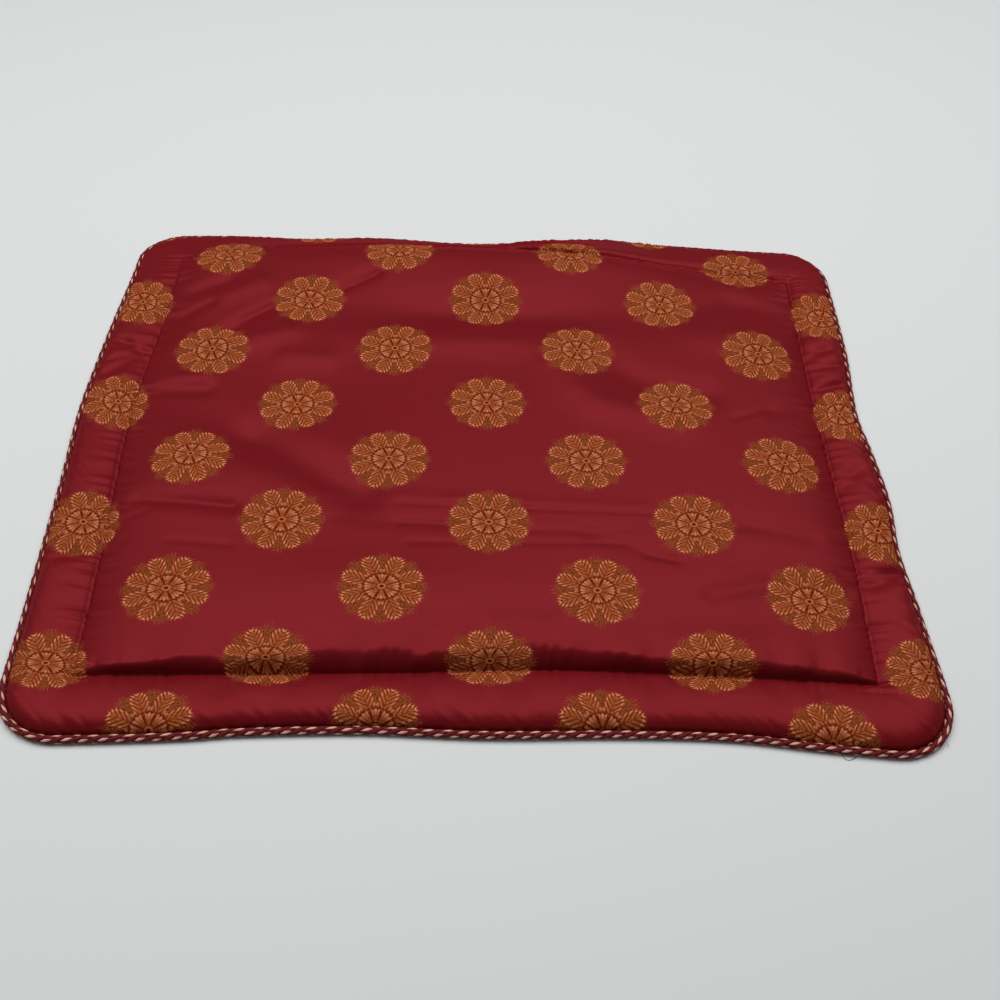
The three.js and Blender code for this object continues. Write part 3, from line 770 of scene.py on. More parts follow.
@dataclass(frozen=True)
class Rosette:
    """The woven rosette as tables of arithmetic, which name the parts that the finish lays on one another.

    The two half sizes are in millimetres, angles in radians, and all else in parts of the way from the
    rosette's middle to its leaf tips.
    """

    half_width: float = 36.3
    half_depth: float = 33.4
    leaves: int = 8
    leaf_middle: float = 0.71
    leaf_half_length: float = 0.3
    leaf_base: float = 0.12
    leaf_spread: float = 0.11
    leaf_squareness: float = 2.4
    leaf_edge: float = 0.96
    lobe_depth: float = 0.15
    lobe_pitch: float = 0.135
    lobe_sweep: float = 1.25
    lobe_at: float = 0.95
    strands_in_lobe: int = 2
    bead_at: float = 0.86
    bead_half_length: float = 0.12
    fan_rays: int = 72
    bud_at: float = 0.5
    bud_beside: float = 0.04
    bud_half_length: float = 0.05
    bud_half_width: float = 0.03
    petal_half_width: float = 0.425
    petal_half_depth: float = 0.39
    petal_edge: float = 0.93
    flutes: int = 24
    flute_depth: float = 0.05
    ring_reach: float = 1.08
    gap_half_angle: float = 0.08
    gap_more_upright: float = 0.07
    eye_half_width: float = 0.115
    eye_half_depth: float = 0.095

    @property
    def half_sector(self) -> float:
        """Half the angle from one leaf to the next."""
        return math.pi / self.leaves

    def place(self) -> tuple[Step, ...]:
        """Where a point lies in the nearest rosette: p across and q away, each 1 at the leaf tips.

        Formula: rosettes stand at whole half repeats of odd sum, so there are two plain lattices, and the
        nearer centre is taken.
        """
        return (
            Step("column_shifted", "SUBTRACT", ("column", 1)),
            Step("row_shifted", "SUBTRACT", ("row", 1)),
            *lattice("odd", "column_shifted", "row"),
            *lattice("even", "column", "row_shifted"),
            Step("odd_nearer", "LESS_THAN", ("odd_far", "even_far")),
            Step("x_change", "SUBTRACT", ("odd_x", "even_x")),
            Step("y_change", "SUBTRACT", ("odd_y", "even_y")),
            Step("near_x", "MULTIPLY_ADD", ("odd_nearer", "x_change", "even_x")),
            Step("near_y", "MULTIPLY_ADD", ("odd_nearer", "y_change", "even_y")),
            Step("p", "MULTIPLY", ("near_x", "across_scale")),
            Step("q", "MULTIPLY", ("near_y", "away_scale")),
            Step("p_squared", "MULTIPLY", ("p", "p")),
            Step("radius_squared", "MULTIPLY_ADD", ("q", "q", "p_squared")),
            Step("radius", "SQRT", ("radius_squared",)),
            Step("angle", "ARCTAN2", ("q", "p")),
        )

    def leaf(self) -> tuple[Step, ...]:
        """The ring of leaves: lobes that sweep forward from a rib, veins between them, beads at their ends.

        Formula: a leaf is a squarish oval round its middle, wider towards its tip, with an edge that waves
        once a lobe.
        """
        power = self.leaf_squareness
        return (
            Step("leaf_start", "SUBTRACT", ("angle", self.half_sector)),
            *spoke("leaf", "leaf_start", self.half_sector),
            Step("swept", "MULTIPLY_ADD", ("leaf_beside", -self.lobe_sweep, "leaf_along")),
            Step("from_lobe", "SUBTRACT", ("swept", self.lobe_at)),
            Step("lobe_turn", "MULTIPLY", ("from_lobe", TURN / self.lobe_pitch)),
            Step("lobe", "COSINE", ("lobe_turn",)),
            Step("strand_turn", "MULTIPLY", ("lobe_turn", self.strands_in_lobe)),
            Step("strand", "COSINE", ("strand_turn",)),
            Step("leaf_length", "SUBTRACT", ("leaf_along", self.leaf_middle)),
            Step("leaf_length_part", "DIVIDE", ("leaf_length", self.leaf_half_length)),
            Step("leaf_length_size", "ABSOLUTE", ("leaf_length_part",)),
            Step("leaf_length_term", "POWER", ("leaf_length_size", power)),
            Step("leaf_width", "MULTIPLY_ADD", ("leaf_along", self.leaf_spread, self.leaf_base)),
            Step("leaf_side_part", "DIVIDE", ("leaf_beside", "leaf_width")),
            Step("leaf_side_term", "POWER", ("leaf_side_part", power)),
            Step("leaf_terms", "ADD", ("leaf_side_term", "leaf_length_term")),
            Step("leaf_reach", "POWER", ("leaf_terms", 1 / power)),
            Step("leaf_edge", "MULTIPLY_ADD", ("lobe", self.lobe_depth, self.leaf_edge)),
            Step("inside_leaf", "SUBTRACT", ("leaf_edge", "leaf_reach")),
            line("leaf", "inside_leaf", 8, 0.5),
            line("leaf_outline", "inside_leaf", 8, 1.5),
            line("vein_cut", "lobe", -2.4, -0.9),
            line("off_rib", "leaf_beside", 40, -0.3),
            Step("side_vein", "MULTIPLY", ("vein_cut", "off_rib")),
            line("strand_cut", "strand", -0.5, -0.1),
            line("rib_line", "leaf_beside", -60, 1.3),
            line("rib_end", "leaf_along", -14, 12.4),
            Step("rib", "MULTIPLY", ("rib_line", "rib_end")),
            Step("main_veins", "MAXIMUM", ("side_vein", "rib")),
            Step("faint_strand", "MULTIPLY", ("strand_cut", 0.65)),
            Step("veins", "MAXIMUM", ("main_veins", "faint_strand")),
            Step("from_bead", "SUBTRACT", ("leaf_reach", self.bead_at)),
            Step("from_bead_part", "DIVIDE", ("from_bead", self.bead_half_length)),
            Step("off_lobe", "MULTIPLY_ADD", ("lobe", -0.6, 0.6)),
            Step("bead_reach", "MULTIPLY_ADD", ("from_bead_part", "from_bead_part", "off_lobe")),
            line("bead_full", "bead_reach", -1.8, 2),
            line("at_side", "leaf_side_part", 5, -2.4),
            line("at_tip", "leaf_along", 16, -13.8),
            Step("outer", "MAXIMUM", ("at_side", "at_tip")),
            line("past_base", "leaf_along", 8, -4.2),
            Step("bead_end", "MULTIPLY", ("bead_full", "outer")),
            Step("bead", "MULTIPLY", ("bead_end", "past_base")),
            line("towards_edge", "leaf_reach", 0.4, 0.6),
            line("lobe_light", "lobe", 0.45, 0.1),
        )

    def ground(self) -> tuple[Step, ...]:
        """The speckled ground of the whole disc, and the buds in the gaps between the leaves.

        Formula: a speck shows where its noise is stronger than a fade that grows outwards. The fade is
        weaker in the gaps and along a fan of fine rays, so the specks reach further out there.
        """
        return (
            Step("star_turn", "MULTIPLY", ("angle", self.leaves)),
            Step("star_wave", "COSINE", ("star_turn",)),
            Step("star", "MAXIMUM", ("star_wave", 0)),
            Step("fan_turn", "MULTIPLY", ("angle", self.fan_rays)),
            Step("fan", "COSINE", ("fan_turn",)),
            Step("fan_reach", "MULTIPLY_ADD", ("fan", -0.1, -0.16)),
            Step("star_fade", "MULTIPLY", ("star", "fan_reach")),
            Step("disc_fade", "MULTIPLY_ADD", ("radius", 1.8, -1.25)),
            Step("fade", "ADD", ("disc_fade", "star_fade")),
            Step("over_fade", "SUBTRACT", ("speck", "fade")),
            Step("ground_full", "MULTIPLY", ("over_fade", 5), True),
            Step("ground", "MULTIPLY", ("ground_full", 0.9)),
            *spoke("gap", "angle", self.half_sector),
            Step("bud_side", "SUBTRACT", ("gap_beside", self.bud_beside)),
            Step("bud_length", "SUBTRACT", ("gap_along", self.bud_at)),
            *oval("bud", "bud_side", "bud_length", self.bud_half_width, self.bud_half_length),
            line("bud", "bud_squared", -1.5, 2),
        )

    def flower(self) -> tuple[Step, ...]:
        """The inner flower: fluted petals in a dark ring, wider gaps beside the upright ones, an oval eye."""
        return (
            *oval("petal", "p", "q", self.petal_half_width, self.petal_half_depth),
            Step("petal_reach", "SQRT", ("petal_squared",)),
            Step("petal_turn", "ARCTAN2", ("petal_y", "petal_x")),
            Step("flute_turn", "MULTIPLY", ("petal_turn", self.flutes)),
            Step("flute", "COSINE", ("flute_turn",)),
            Step("petal_edge", "MULTIPLY_ADD", ("flute", self.flute_depth, self.petal_edge)),
            Step("inside_petal", "SUBTRACT", ("petal_edge", "petal_reach")),
            line("petal", "inside_petal", 12, 0.5),
            Step("inside_ring", "SUBTRACT", (self.ring_reach, "petal_reach")),
            line("ring", "inside_ring", 12, 0.5),
            Step("gap_start", "SUBTRACT", ("petal_turn", self.half_sector)),
            Step("gap_turn", "WRAP", ("gap_start", self.half_sector, -self.half_sector)),
            Step("gap_side", "ABSOLUTE", ("gap_turn",)),
            Step("upright", "SINE", ("petal_turn",)),
            Step("upright_part", "POWER", ("upright", 8)),
            Step("gap_width", "MULTIPLY_ADD", ("upright_part", self.gap_more_upright, self.gap_half_angle)),
            Step("inside_gap", "SUBTRACT", ("gap_width", "gap_side")),
            line("petal_gap", "inside_gap", 18, 0.5),
            line("flute_cut", "flute", -1.6, -0.75),
            line("flute_fade", "petal_reach", 0.5, 0.4),
            Step("flute_line", "MULTIPLY", ("flute_cut", "flute_fade")),
            line("petal_tip", "petal_reach", 3, -1.7),
            *oval("eye", "p", "q", self.eye_half_width, self.eye_half_depth),
            Step("eye_reach", "SQRT", ("eye_squared",)),
            line("eye_moat", "eye_reach", -5, 6.4),
            line("eye_ring", "eye_reach", -5, 5.2),
            line("eye_hole", "eye_reach", -6, 3.2),
        )

    def shares(self) -> tuple[Step, ...]:
        """How much of each yarn shows, how rough the weave is there, and how much it shines like satin.

        Formula: loose floats lose their gloss where they are seen at a grazing angle.
        """
        return (
            line("sparkle", "speck", 4.5, -1.75),
            Step("bud_share", "MULTIPLY", ("bud", 0.8)),
            Step("bead_share", "MULTIPLY", ("bead", 0.75)),
            Step("leaf_bead", "MULTIPLY", ("leaf", "bead_share")),
            Step("leaf_strand", "MULTIPLY", ("leaf", "lobe_light")),
            Step("leaf_border", "MULTIPLY", ("leaf_outline", 0.55)),
            Step("leaf_vein_full", "MULTIPLY", ("leaf", "veins")),
            Step("leaf_vein", "MULTIPLY", ("leaf_vein_full", "towards_edge")),
            Step("ring_share", "MULTIPLY", ("ring", 0.8)),
            Step("eye_moat_share", "MULTIPLY", ("eye_moat", 0.6)),
            Step("petal_light_full", "MULTIPLY", ("petal", "petal_tip")),
            Step("petal_light", "MULTIPLY", ("petal_light_full", 0.6)),
            Step("petal_lines", "MAXIMUM", ("petal_gap", "flute_line")),
            Step("petal_dark", "MULTIPLY", ("petal", "petal_lines")),
            Step("yarn_shown", "MAXIMUM", ("leaf", "ground")),
            Step("rough", "MULTIPLY_ADD", ("yarn_shown", 0.16, "satin_rough")),
            Step("satin_shown", "MULTIPLY_ADD", ("yarn_shown", -0.75, 1)),
            line("faced", "facing", -3, 2.25),
            Step("satin_faced", "MULTIPLY", ("satin_shown", "faced")),
            Step("shine", "MULTIPLY", ("satin_faced", "satin_sheen")),
            Step("gloss", "MULTIPLY", ("satin_faced", "satin_gloss")),
        )

    def steps(self) -> tuple[Step, ...]:
        """All the tables, in order."""
        return self.place() + self.leaf() + self.ground() + self.flower() + self.shares()


@dataclass(frozen=True)
class SatinJacquard:
    """Rayon and polyester satin jacquard, woven: a smooth sheen, with rosettes in gold and brown yarn.

    The threads are about 0.1 mm apart, too fine to show. The specks are drawn 1.3 mm apart and the slubs
    1.1 mm wide and 50 mm long, as coarse as they need to be seen.
    """

    satin: str = "#7e161d"
    satin_deep: str = "#71131a"
    ground_dark: str = "#551b06"
    ground_light: str = "#a0552b"
    leaf_yarn: str = "#7b3713"
    leaf_light: str = "#b46139"
    bead_yarn: str = "#e28f68"
    vein: str = "#6b1a00"
    eye: str = "#551200"
    roughness: float = 0.46
    sheen: float = 0.27
    gloss: float = 0.075
    specks_per_mm: float = 0.75
    slubs_per_mm: tuple[float, float, float] = (0.02, 0.9, 0)
    rosette: Rosette = Rosette()

    def material(self, pattern_across: float, pattern_along: float) -> bpy.types.Material:
        """Build the satin with its woven rosettes.

        Args:
            pattern_across: half the repeat across, in millimetres.
            pattern_along: half the repeat down, in millimetres.

        Returns:
            The material, which reads the piece's own pattern map.
        """
        finish = Finish("satin_jacquard_woven")
        map_node = finish.add("ShaderNodeUVMap", {"uv_map": PATTERN_MAP})
        parts = finish.add("ShaderNodeSeparateXYZ", None, {0: map_node.outputs[0]})
        in_mm = finish.add(
            "ShaderNodeVectorMath", {"operation": "MULTIPLY"},
            {0: map_node.outputs[0], 1: (pattern_across, pattern_along, 0)})
        speck = finish.add(
            "ShaderNodeTexNoise", {"noise_dimensions": "2D"},
            {"Vector": in_mm.outputs[0], "Scale": self.specks_per_mm, "Detail": 2, "Roughness": 0.75})
        slub_place = finish.add(
            "ShaderNodeVectorMath", {"operation": "MULTIPLY"}, {0: in_mm.outputs[0], 1: self.slubs_per_mm})
        slub = finish.add(
            "ShaderNodeTexNoise", {"noise_dimensions": "2D"},
            {"Vector": slub_place.outputs[0], "Scale": 1, "Detail": 2})
        turned = finish.add("ShaderNodeLayerWeight", None, {"Blend": 0.5})
        values = finish.work_out(
            self.rosette.steps(),
            {
                "column": parts.outputs[0],
                "row": parts.outputs[1],
                "across_scale": pattern_across / self.rosette.half_width,
                "away_scale": -pattern_along / self.rosette.half_depth,
                "speck": speck.outputs[0],
                "satin_rough": self.roughness,
                "satin_sheen": self.sheen,
                "satin_gloss": self.gloss,
                "facing": turned.outputs["Facing"],
            })
        ground = finish.paint(self.ground_dark, (self.ground_light, values["sparkle"]))
        yarn = finish.paint(self.leaf_yarn, (self.leaf_light, values["sparkle"]))
        colour = finish.paint(
            self.satin_deep,
            (self.satin, slub.outputs[0]),
            (ground, values["ground"]),
            (self.bead_yarn, values["bud_share"]),
            (self.vein, values["leaf_border"]),
            (yarn, values["leaf"]),
            (self.leaf_light, values["leaf_strand"]),
            (self.bead_yarn, values["leaf_bead"]),
            (self.vein, values["leaf_vein"]),
            (self.vein, values["ring_share"]),
            (yarn, values["petal"]),
            (self.bead_yarn, values["petal_light"]),
            (self.vein, values["petal_dark"]),
            (self.eye, values["eye_moat_share"]),
            (self.leaf_light, values["eye_ring"]),
            (self.eye, values["eye_hole"]))
        return finish.done({
            "Base Color": colour,
            "Roughness": values["rough"],
            "Metallic": values["shine"],
            "Specular IOR Level": values["gloss"],
        })


@dataclass(frozen=True)
class PlainSateen:
    """Polyester sateen, woven plain: a dull crimson backing cloth with faint ribs.

    Its threads are too fine to show, so the ribs are drawn 1.1 mm apart.
    """

    dark: str = "#5f1a1d"
    light: str = "#762427"
    roughness: float = 0.7
    rib_pitch: float = 1.122
    rib_wander: float = 1.5

    def material(self) -> bpy.types.Material:
        """Build the backing cloth; its ribs follow the object's own place.

        Formula: the bands turn by 20 radians a metre at scale 1, so a rib's pitch is a turn over 20.
        """
        finish = Finish("plain_polyester_sateen")
        place = finish.add("ShaderNodeTexCoord")
        scale = TURN / 20 / (self.rib_pitch * MM)
        ribs = finish.add(
            "ShaderNodeTexWave", {"bands_direction": "Y"},
            {"Vector": place.outputs["Object"], "Scale": scale, "Distortion": self.rib_wander, "Detail": 1})
        colour = finish.paint(self.dark, (self.light, ribs.outputs["Fac"]))
        return finish.done({"Base Color": colour, "Roughness": self.roughness})


@dataclass(frozen=True)
class TwistedRayon:
    """Spun rayon cord yarn, burgundy and cream: glossy fibres along each strand, with painted shade between
    them.
    """

    burgundy: str = "#7a1822"
    burgundy_shadow: str = "#3c070b"
    cream: str = "#fcccb0"
    cream_shadow: str = "#9c503c"
    gloss: float = 0.15
    roughness: float = 0.5
    cream_part: float = 0.29
    fibres_in_ply: float = 5
    fibres_in_strand: float = 5
    fibre_height: float = 0.12
    fibre_strength: float = 0.5

    def steps(self) -> tuple[Step, ...]:
        """Where the cream shows, and the fibres' waves, which paint shade between the fibres and at the cream
        strands' edges.

        Formula: odd plies are burgundy; in even ones a strand of cream shows for its part of each turn.
        """
        return (
            Step("in_pair", "WRAP", ("plies", 2, 0)),
            Step("two_coloured", "GREATER_THAN", ("in_pair", 1)),
            Step("in_strand", "FRACT", ("strands",)),
            Step("off_middle", "SUBTRACT", ("in_strand", 0.5)),
            Step("from_cream", "ABSOLUTE", ("off_middle",)),
            Step("over_edge", "SUBTRACT", (self.cream_part, "from_cream")),
            line("cream_strand", "over_edge", 22, 0.5),
            Step("in_ply", "FRACT", ("plies",)),
            Step("off_crest", "SUBTRACT", ("in_ply", 0.5)),
            Step("from_crest", "ABSOLUTE", ("off_crest",)),
            line("on_crest", "from_crest", -14, 6.1),
            Step("cream_lump", "MULTIPLY", ("cream_strand", "on_crest")),
            Step("cream", "MULTIPLY", ("cream_lump", "two_coloured")),
            Step("edge_side", "ABSOLUTE", ("over_edge",)),
            line("edge_line", "edge_side", -20, 1.3),
            Step("strand_edge", "MULTIPLY", ("edge_line", "two_coloured")),
            Step("strand_turn", "MULTIPLY", ("strands", TURN * self.fibres_in_strand)),
            Step("ply_turn", "MULTIPLY_ADD", ("plies", TURN * self.fibres_in_ply, "strands")),
            Step("strand_wave", "SINE", ("strand_turn",)),
            Step("ply_wave", "SINE", ("ply_turn",)),
            Step("wave_change", "SUBTRACT", ("strand_wave", "ply_wave")),
            Step("wave", "MULTIPLY_ADD", ("wave_change", "two_coloured", "ply_wave")),
            line("fibre", "wave", 0.35, 0.7),
            Step("relief", "MULTIPLY_ADD", ("strand_edge", -3, "wave")),
        )

    def material(self) -> bpy.types.Material:
        """Build the yarn; it reads the cord's map of strands passed and plies passed."""
        finish = Finish("spun_rayon_cord_yarn")
        map_node = finish.add("ShaderNodeUVMap", {"uv_map": PATTERN_MAP})
        parts = finish.add("ShaderNodeSeparateXYZ", None, {0: map_node.outputs[0]})
        values = finish.work_out(self.steps(), {"strands": parts.outputs[0], "plies": parts.outputs[1]})
        # Painted shade: the fibres' wave darkens each yarn to its shadow colour between fibres and lightens
        # it on their crests, and a painted shadow line runs along the edge of each cream strand.
        pale = finish.paint(self.cream_shadow, (self.cream, values["fibre"]))
        colour = finish.paint(
            self.burgundy_shadow,
            (self.burgundy, values["fibre"]),
            (pale, values["cream"]),
            (self.burgundy_shadow, values["strand_edge"]))
        bump = finish.add(
            "ShaderNodeBump", None,
            {"Height": values["relief"], "Strength": self.fibre_strength, "Distance": self.fibre_height * MM})
        return finish.done({
            "Base Color": colour,
            "Normal": bump.outputs[0],
            "Specular IOR Level": self.gloss,
            "Roughness": self.roughness,
        })


class ThreadShade(Enum):
    """The two colours of sewing thread: one matched to the satin, and one paler for the threads that hang
    loose.
    """

    MATCHED = "#5c1219"
    PALER = "#7c3a44"


@dataclass(frozen=True)
class SewingThread:
    """Polyester sewing thread, spun: a fine line with hardly any gloss."""

    shade: ThreadShade
    gloss: float = 0.1
    roughness: float = 0.6

    def material(self) -> bpy.types.Material:
        """Build the thread."""
        return Finish("polyester_sewing_thread").done({
            "Base Color": linear(self.shade.value),
            "Specular IOR Level": self.gloss,
            "Roughness": self.roughness,
        })


@dataclass(frozen=True)
class StudioVinyl:
    """Matt vinyl sheet for the studio floor, calendered: an even pale grey."""

    colour: str = "#e0e2e2"
    roughness: float = 0.6

    def material(self) -> bpy.types.Material:
        """Build the floor's finish."""
        return Finish("studio_floor_matt_vinyl").done(
            {"Base Color": linear(self.colour), "Roughness": self.roughness})


def dress(piece: bpy.types.Object, finish: bpy.types.Material, slot: str, *nodes: str) -> bpy.types.Object:
    """Give a piece its material and body, and hide the CAD nodes that it stands for.

    Args:
        piece: the piece.
        finish: its material.
        slot: the name of its colour slot; not used.
        nodes: the CAD nodes that it replaces.

    Returns:
        The same piece.
    """
    piece.data.materials.append(finish)
    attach(piece, ROOT)
    if nodes:
        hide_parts(*nodes)
    LOG.info("%s: %d faces", piece.name, len(piece.data.polygons))
    return piece


def ring_parts(under: Array, count: int, depth: int) -> list[Array]:
    """Faces that close the underside of a grid, from the vertices round its rim.

    Args:
        under: rim vertices, anticlockwise from the near left corner.
        count: columns of the grid.
        depth: rows of the grid.

    Returns:
        Strips from the near edge to the far one, then the left end and the right end, all facing down.
    """
    ring = np.concatenate([under, under[:2]])
    near = under[:count]
    far = under[count + depth - 2: 2 * count + depth - 2][::-1]
    strips = np.stack([near[1:-2], far[1:-2], far[2:-1], near[2:-1]], axis=-1)
    left_end = ring[2 * count + depth - 4:][::-1]
    right_end = ring[count - 2: count + depth][::-1]
    return [strips, left_end[None, :], right_end[None, :]]


def rim_numbers(count: int, depth: int) -> Array:
    """Vertex numbers round a grid's rim, anticlockwise from the near left corner."""
    numbers = np.arange(count * depth).reshape(count, depth)
    return np.concatenate([numbers[:-1, 0], numbers[-1, :-1], numbers[:0:-1, -1], numbers[0, :0:-1]])


@dataclass(frozen=True)
class Slip:
    """A place where the cloth lies off its even repeat, and how far."""

    x: float
    y: float
    reach: float
    move_x: float
    move_y: float


@dataclass
class WaddedFront:
    """The front: one cloth on light wadding, with its flange, stitched channel and pattern."""

    plan: Plan
    relief: Relief
    rim_step: float = 1.9
    panel_step: float = 2.5
    underside: float = 1.8
    pattern_across: float = 92
    pattern_along: float = 72.96
    pattern_turn: float = 0.9
    pattern_x: float = 9.45
    pattern_y: float = -15.26
    pattern_column: float = 4
    pattern_row: float = 3.8
    take_up_left: EdgeTable = EdgeTable(at=(-220, -120, -60, 85, 200), out=(4, 6, 9, 10.5, 8))
    slip_left: EdgeTable = EdgeTable(at=(-200, -60, 85, 180), out=(0, 5, 8, 3))
    take_up_right: EdgeTable = EdgeTable(at=(-250, -190, -60, 85, 200), out=(3, 5, 12.5, 9.5, 12))
    take_up_near: EdgeTable = EdgeTable(at=(-330, -290, -105, 85, 265, 330), out=(15, 18, 24, 22, 13, 10))
    slip_near: EdgeTable = EdgeTable(at=(-290, -105, 85, 290), out=(6.5, 0, -3, -3))
    take_up_far: float = 12
    slips: tuple[Slip, ...] = (
        Slip(286, -28, 34, 5, 5),
        Slip(285, -177, 34, 0, -4),
        Slip(283, 117, 34, 2, 3),
        Slip(362, 191, 30, 0, -9),
        Slip(360, 50, 30, -10, 0),
        Slip(366, -96, 30, -3, 2),
        Slip(-267, -32, 34, 0, 4),
        Slip(-230, -190, 34, 4, 0),
    )
    take_up_from: float = 25
    take_up_to: float = -25

    def under_height(self, across: Array) -> Array:
        """Height of the underside: twice as high over the back panels' overlap, with a ramp on each side."""
        return self.underside * (1 + self.plan.over_overlap(np.abs(across)))

    def pattern(self, x: Array, y: Array, across: Array, along: Array) -> Array:
        """Place in the woven repeat, in half repeats: whole numbers of odd sum are rosette centres.

        Formula: a turned grid, less what the stitching takes up, which grows across each seam.

        Args:
            x: place along X.
            y: place along Y.
            across: distance along X in the plain rectangle.
            along: distance along Y in the plain rectangle.

        Returns:
            Two pattern coordinates for each point.
        """
        past_left = self.taken(self.plan.seam_half_width + across)
        left = self.take_up_left(y) * past_left
        right = self.take_up_right(y) * self.taken(self.plan.seam_half_width - across)
        past_near = self.taken(self.plan.seam_half_depth + along)
        far = self.take_up_far * self.taken(self.plan.seam_half_depth - along)
        flat_x = x - self.pattern_x - left + right - self.slip_near(x) * past_near
        flat_y = y - self.pattern_y - self.take_up_near(x) * past_near + far - self.slip_left(y) * past_left
        for slip in self.slips:
            near = np.exp(-((x - slip.x) ** 2 + (y - slip.y) ** 2) / slip.reach**2)
            flat_x = flat_x - slip.move_x * near
            flat_y = flat_y - slip.move_y * near
        turn = math.radians(self.pattern_turn)
        turned_x = flat_x * math.cos(turn) + flat_y * math.sin(turn)
        turned_y = flat_y * math.cos(turn) - flat_x * math.sin(turn)
        column = self.pattern_column + turned_x / self.pattern_across
        row = self.pattern_row - turned_y / self.pattern_along
        return np.stack([column, row], axis=-1)

    def taken(self, inside: Array) -> Array:
        """Part of the cloth taken up at a distance inside a seam: none well inside, all of it outside."""
        return 1 - smooth_between(inside, self.take_up_to, self.take_up_from)

    def build(self, finish: SatinJacquard) -> bpy.types.Object:
        """Make the front as one closed, lightly filled form and dress it."""
        plan = self.plan
        columns = plan.columns(self.rim_step, self.panel_step)
        rows = plan.rows(self.rim_step, self.panel_step)
        across, along = np.meshgrid(columns, rows, indexing="ij")
        count, depth = across.shape
        x, y = plan.place(across, along)
        face = np.stack([x, y, self.relief.height(across, along)], axis=-1).reshape(-1, 3)
        pattern = self.pattern(x, y, across, along).reshape(-1, 2)
        rim = rim_numbers(count, depth)
        low = face[rim].copy()
        low[:, 2] = self.under_height(across.reshape(-1)[rim])
        under = len(face) + np.arange(len(rim))
        wall = np.stack([under, np.roll(under, -1), np.roll(rim, -1), rim], axis=-1)
        faces = [grid_faces(count, depth), wall, *ring_parts(under, count, depth)]
        corners = np.concatenate([block.ravel() for block in faces])
        piece = add_mesh(
            "front", np.concatenate([face, low]), faces, [True] + [False] * (len(faces) - 1),
            np.concatenate([pattern, pattern[rim]])[corners])
        return dress(
            piece, finish.material(self.pattern_across, self.pattern_along), "satin_face", "wadded_front")


class BackSide(Enum):
    """The two panels of the envelope back, by the end that each is sewn to."""

    LEFT = "left"
    RIGHT = "right"


@dataclass
class BackPanel:
    """One panel of the envelope back: a thin sheet, hemmed along the edge that laps the other panel."""

    plan: Plan
    side: BackSide
    thickness: float = 1.5
    gap: float = 0.3
    hem_width: float = 20
    groove_depth: float = 0.7
    groove_width: float = 1.2
    rim_step: float = 2.1
    panel_step: float = 12
    lines_beside_hem: tuple[float, ...] = (-3, -1.5, -0.7, 0, 0.7, 1.5, 3)

    def lifted(self, across: Array) -> Array:
        """Height of the panel's lower face: the right panel lies over the left one, then ramps down."""
        if self.side is BackSide.LEFT:
            return np.zeros_like(across)
        return (self.thickness + self.gap) * self.plan.over_overlap(across)

    def groove(self, across: Array, along: Array) -> Array:
        """Depth of the stitched lines, pressed into the lower face along the seam and the hem."""
        nearest = np.minimum(np.abs(self.plan.seam_distance(across, along)), np.abs(across - self.hem()))
        return self.groove_depth * np.exp(-((nearest / self.groove_width) ** 2))

    def edge(self) -> float:
        """Where the panel's free edge lies."""
        return self.plan.overlap_half if self.side is BackSide.LEFT else -self.plan.overlap_half

    def hem(self) -> float:
        """Where the hem's stitching lies: the hem's width inside the free edge."""
        return self.edge() - math.copysign(self.hem_width, self.edge())

    def build(self, finish: PlainSateen) -> bpy.types.Object:
        """Make the panel as one closed sheet and dress it."""
        plan = self.plan
        columns = plan.columns(self.rim_step, self.panel_step)
        kept = columns < self.edge() if self.side is BackSide.LEFT else columns > self.edge()
        beside_hem = self.hem() + np.array(self.lines_beside_hem)
        columns = np.union1d(columns[kept], np.append(beside_hem, self.edge()))
        if self.side is BackSide.RIGHT:
            columns = np.union1d(columns, plan.overlap_half + np.array([0, plan.overlap_ramp]))
        rows = plan.rows(self.rim_step, self.panel_step)
        across, along = np.meshgrid(columns, rows, indexing="ij")
        count, depth = across.shape
        x, y = plan.place(across, along)
        low = self.lifted(across)
        bottom = np.stack([x, y, low + self.groove(across, along)], axis=-1).reshape(-1, 3)
        top = np.stack([x, y, low + self.thickness], axis=-1).reshape(-1, 3)
        rim = rim_numbers(count, depth)
        after = np.roll(rim, -1)
        wall = np.stack([rim, after, after + len(bottom), rim + len(bottom)], axis=-1)
        grid = grid_faces(count, depth)
        piece = add_mesh(
            f"back_{self.side.value}", np.concatenate([bottom, top]),
            [grid[:, ::-1], grid + len(bottom), wall], [True, True, False])
        return dress(piece, finish.material(), "back_cloth", f"back_panel_{self.side.value}")


def resample(points: Array, step: float) -> Array:
    """Put points at even steps round a closed line.

    Args:
        points: one row for each point of the closed line.
        step: about how far apart the new points are.

    Returns:
        The new points, a whole number of them, at equal distances along the line.
    """
    closed = np.vstack([points, points[:1]])
    travelled = np.concatenate([[0], np.cumsum(np.linalg.norm(np.diff(closed, axis=0), axis=1))])
    places = np.linspace(0, travelled[-1], round(travelled[-1] / step) + 1)[:-1]
    return np.stack([np.interp(places, travelled, axis) for axis in closed.T], axis=-1)


def outward_of(points: Array) -> Array:
    """Unit direction out of a closed anticlockwise line at each point: square to its two neighbours' line."""
    step = np.roll(points, -1, axis=0) - np.roll(points, 1, axis=0)
    along = step / np.linalg.norm(step, axis=1, keepdims=True)
    return np.stack([along[:, 1], -along[:, 0]], axis=-1)


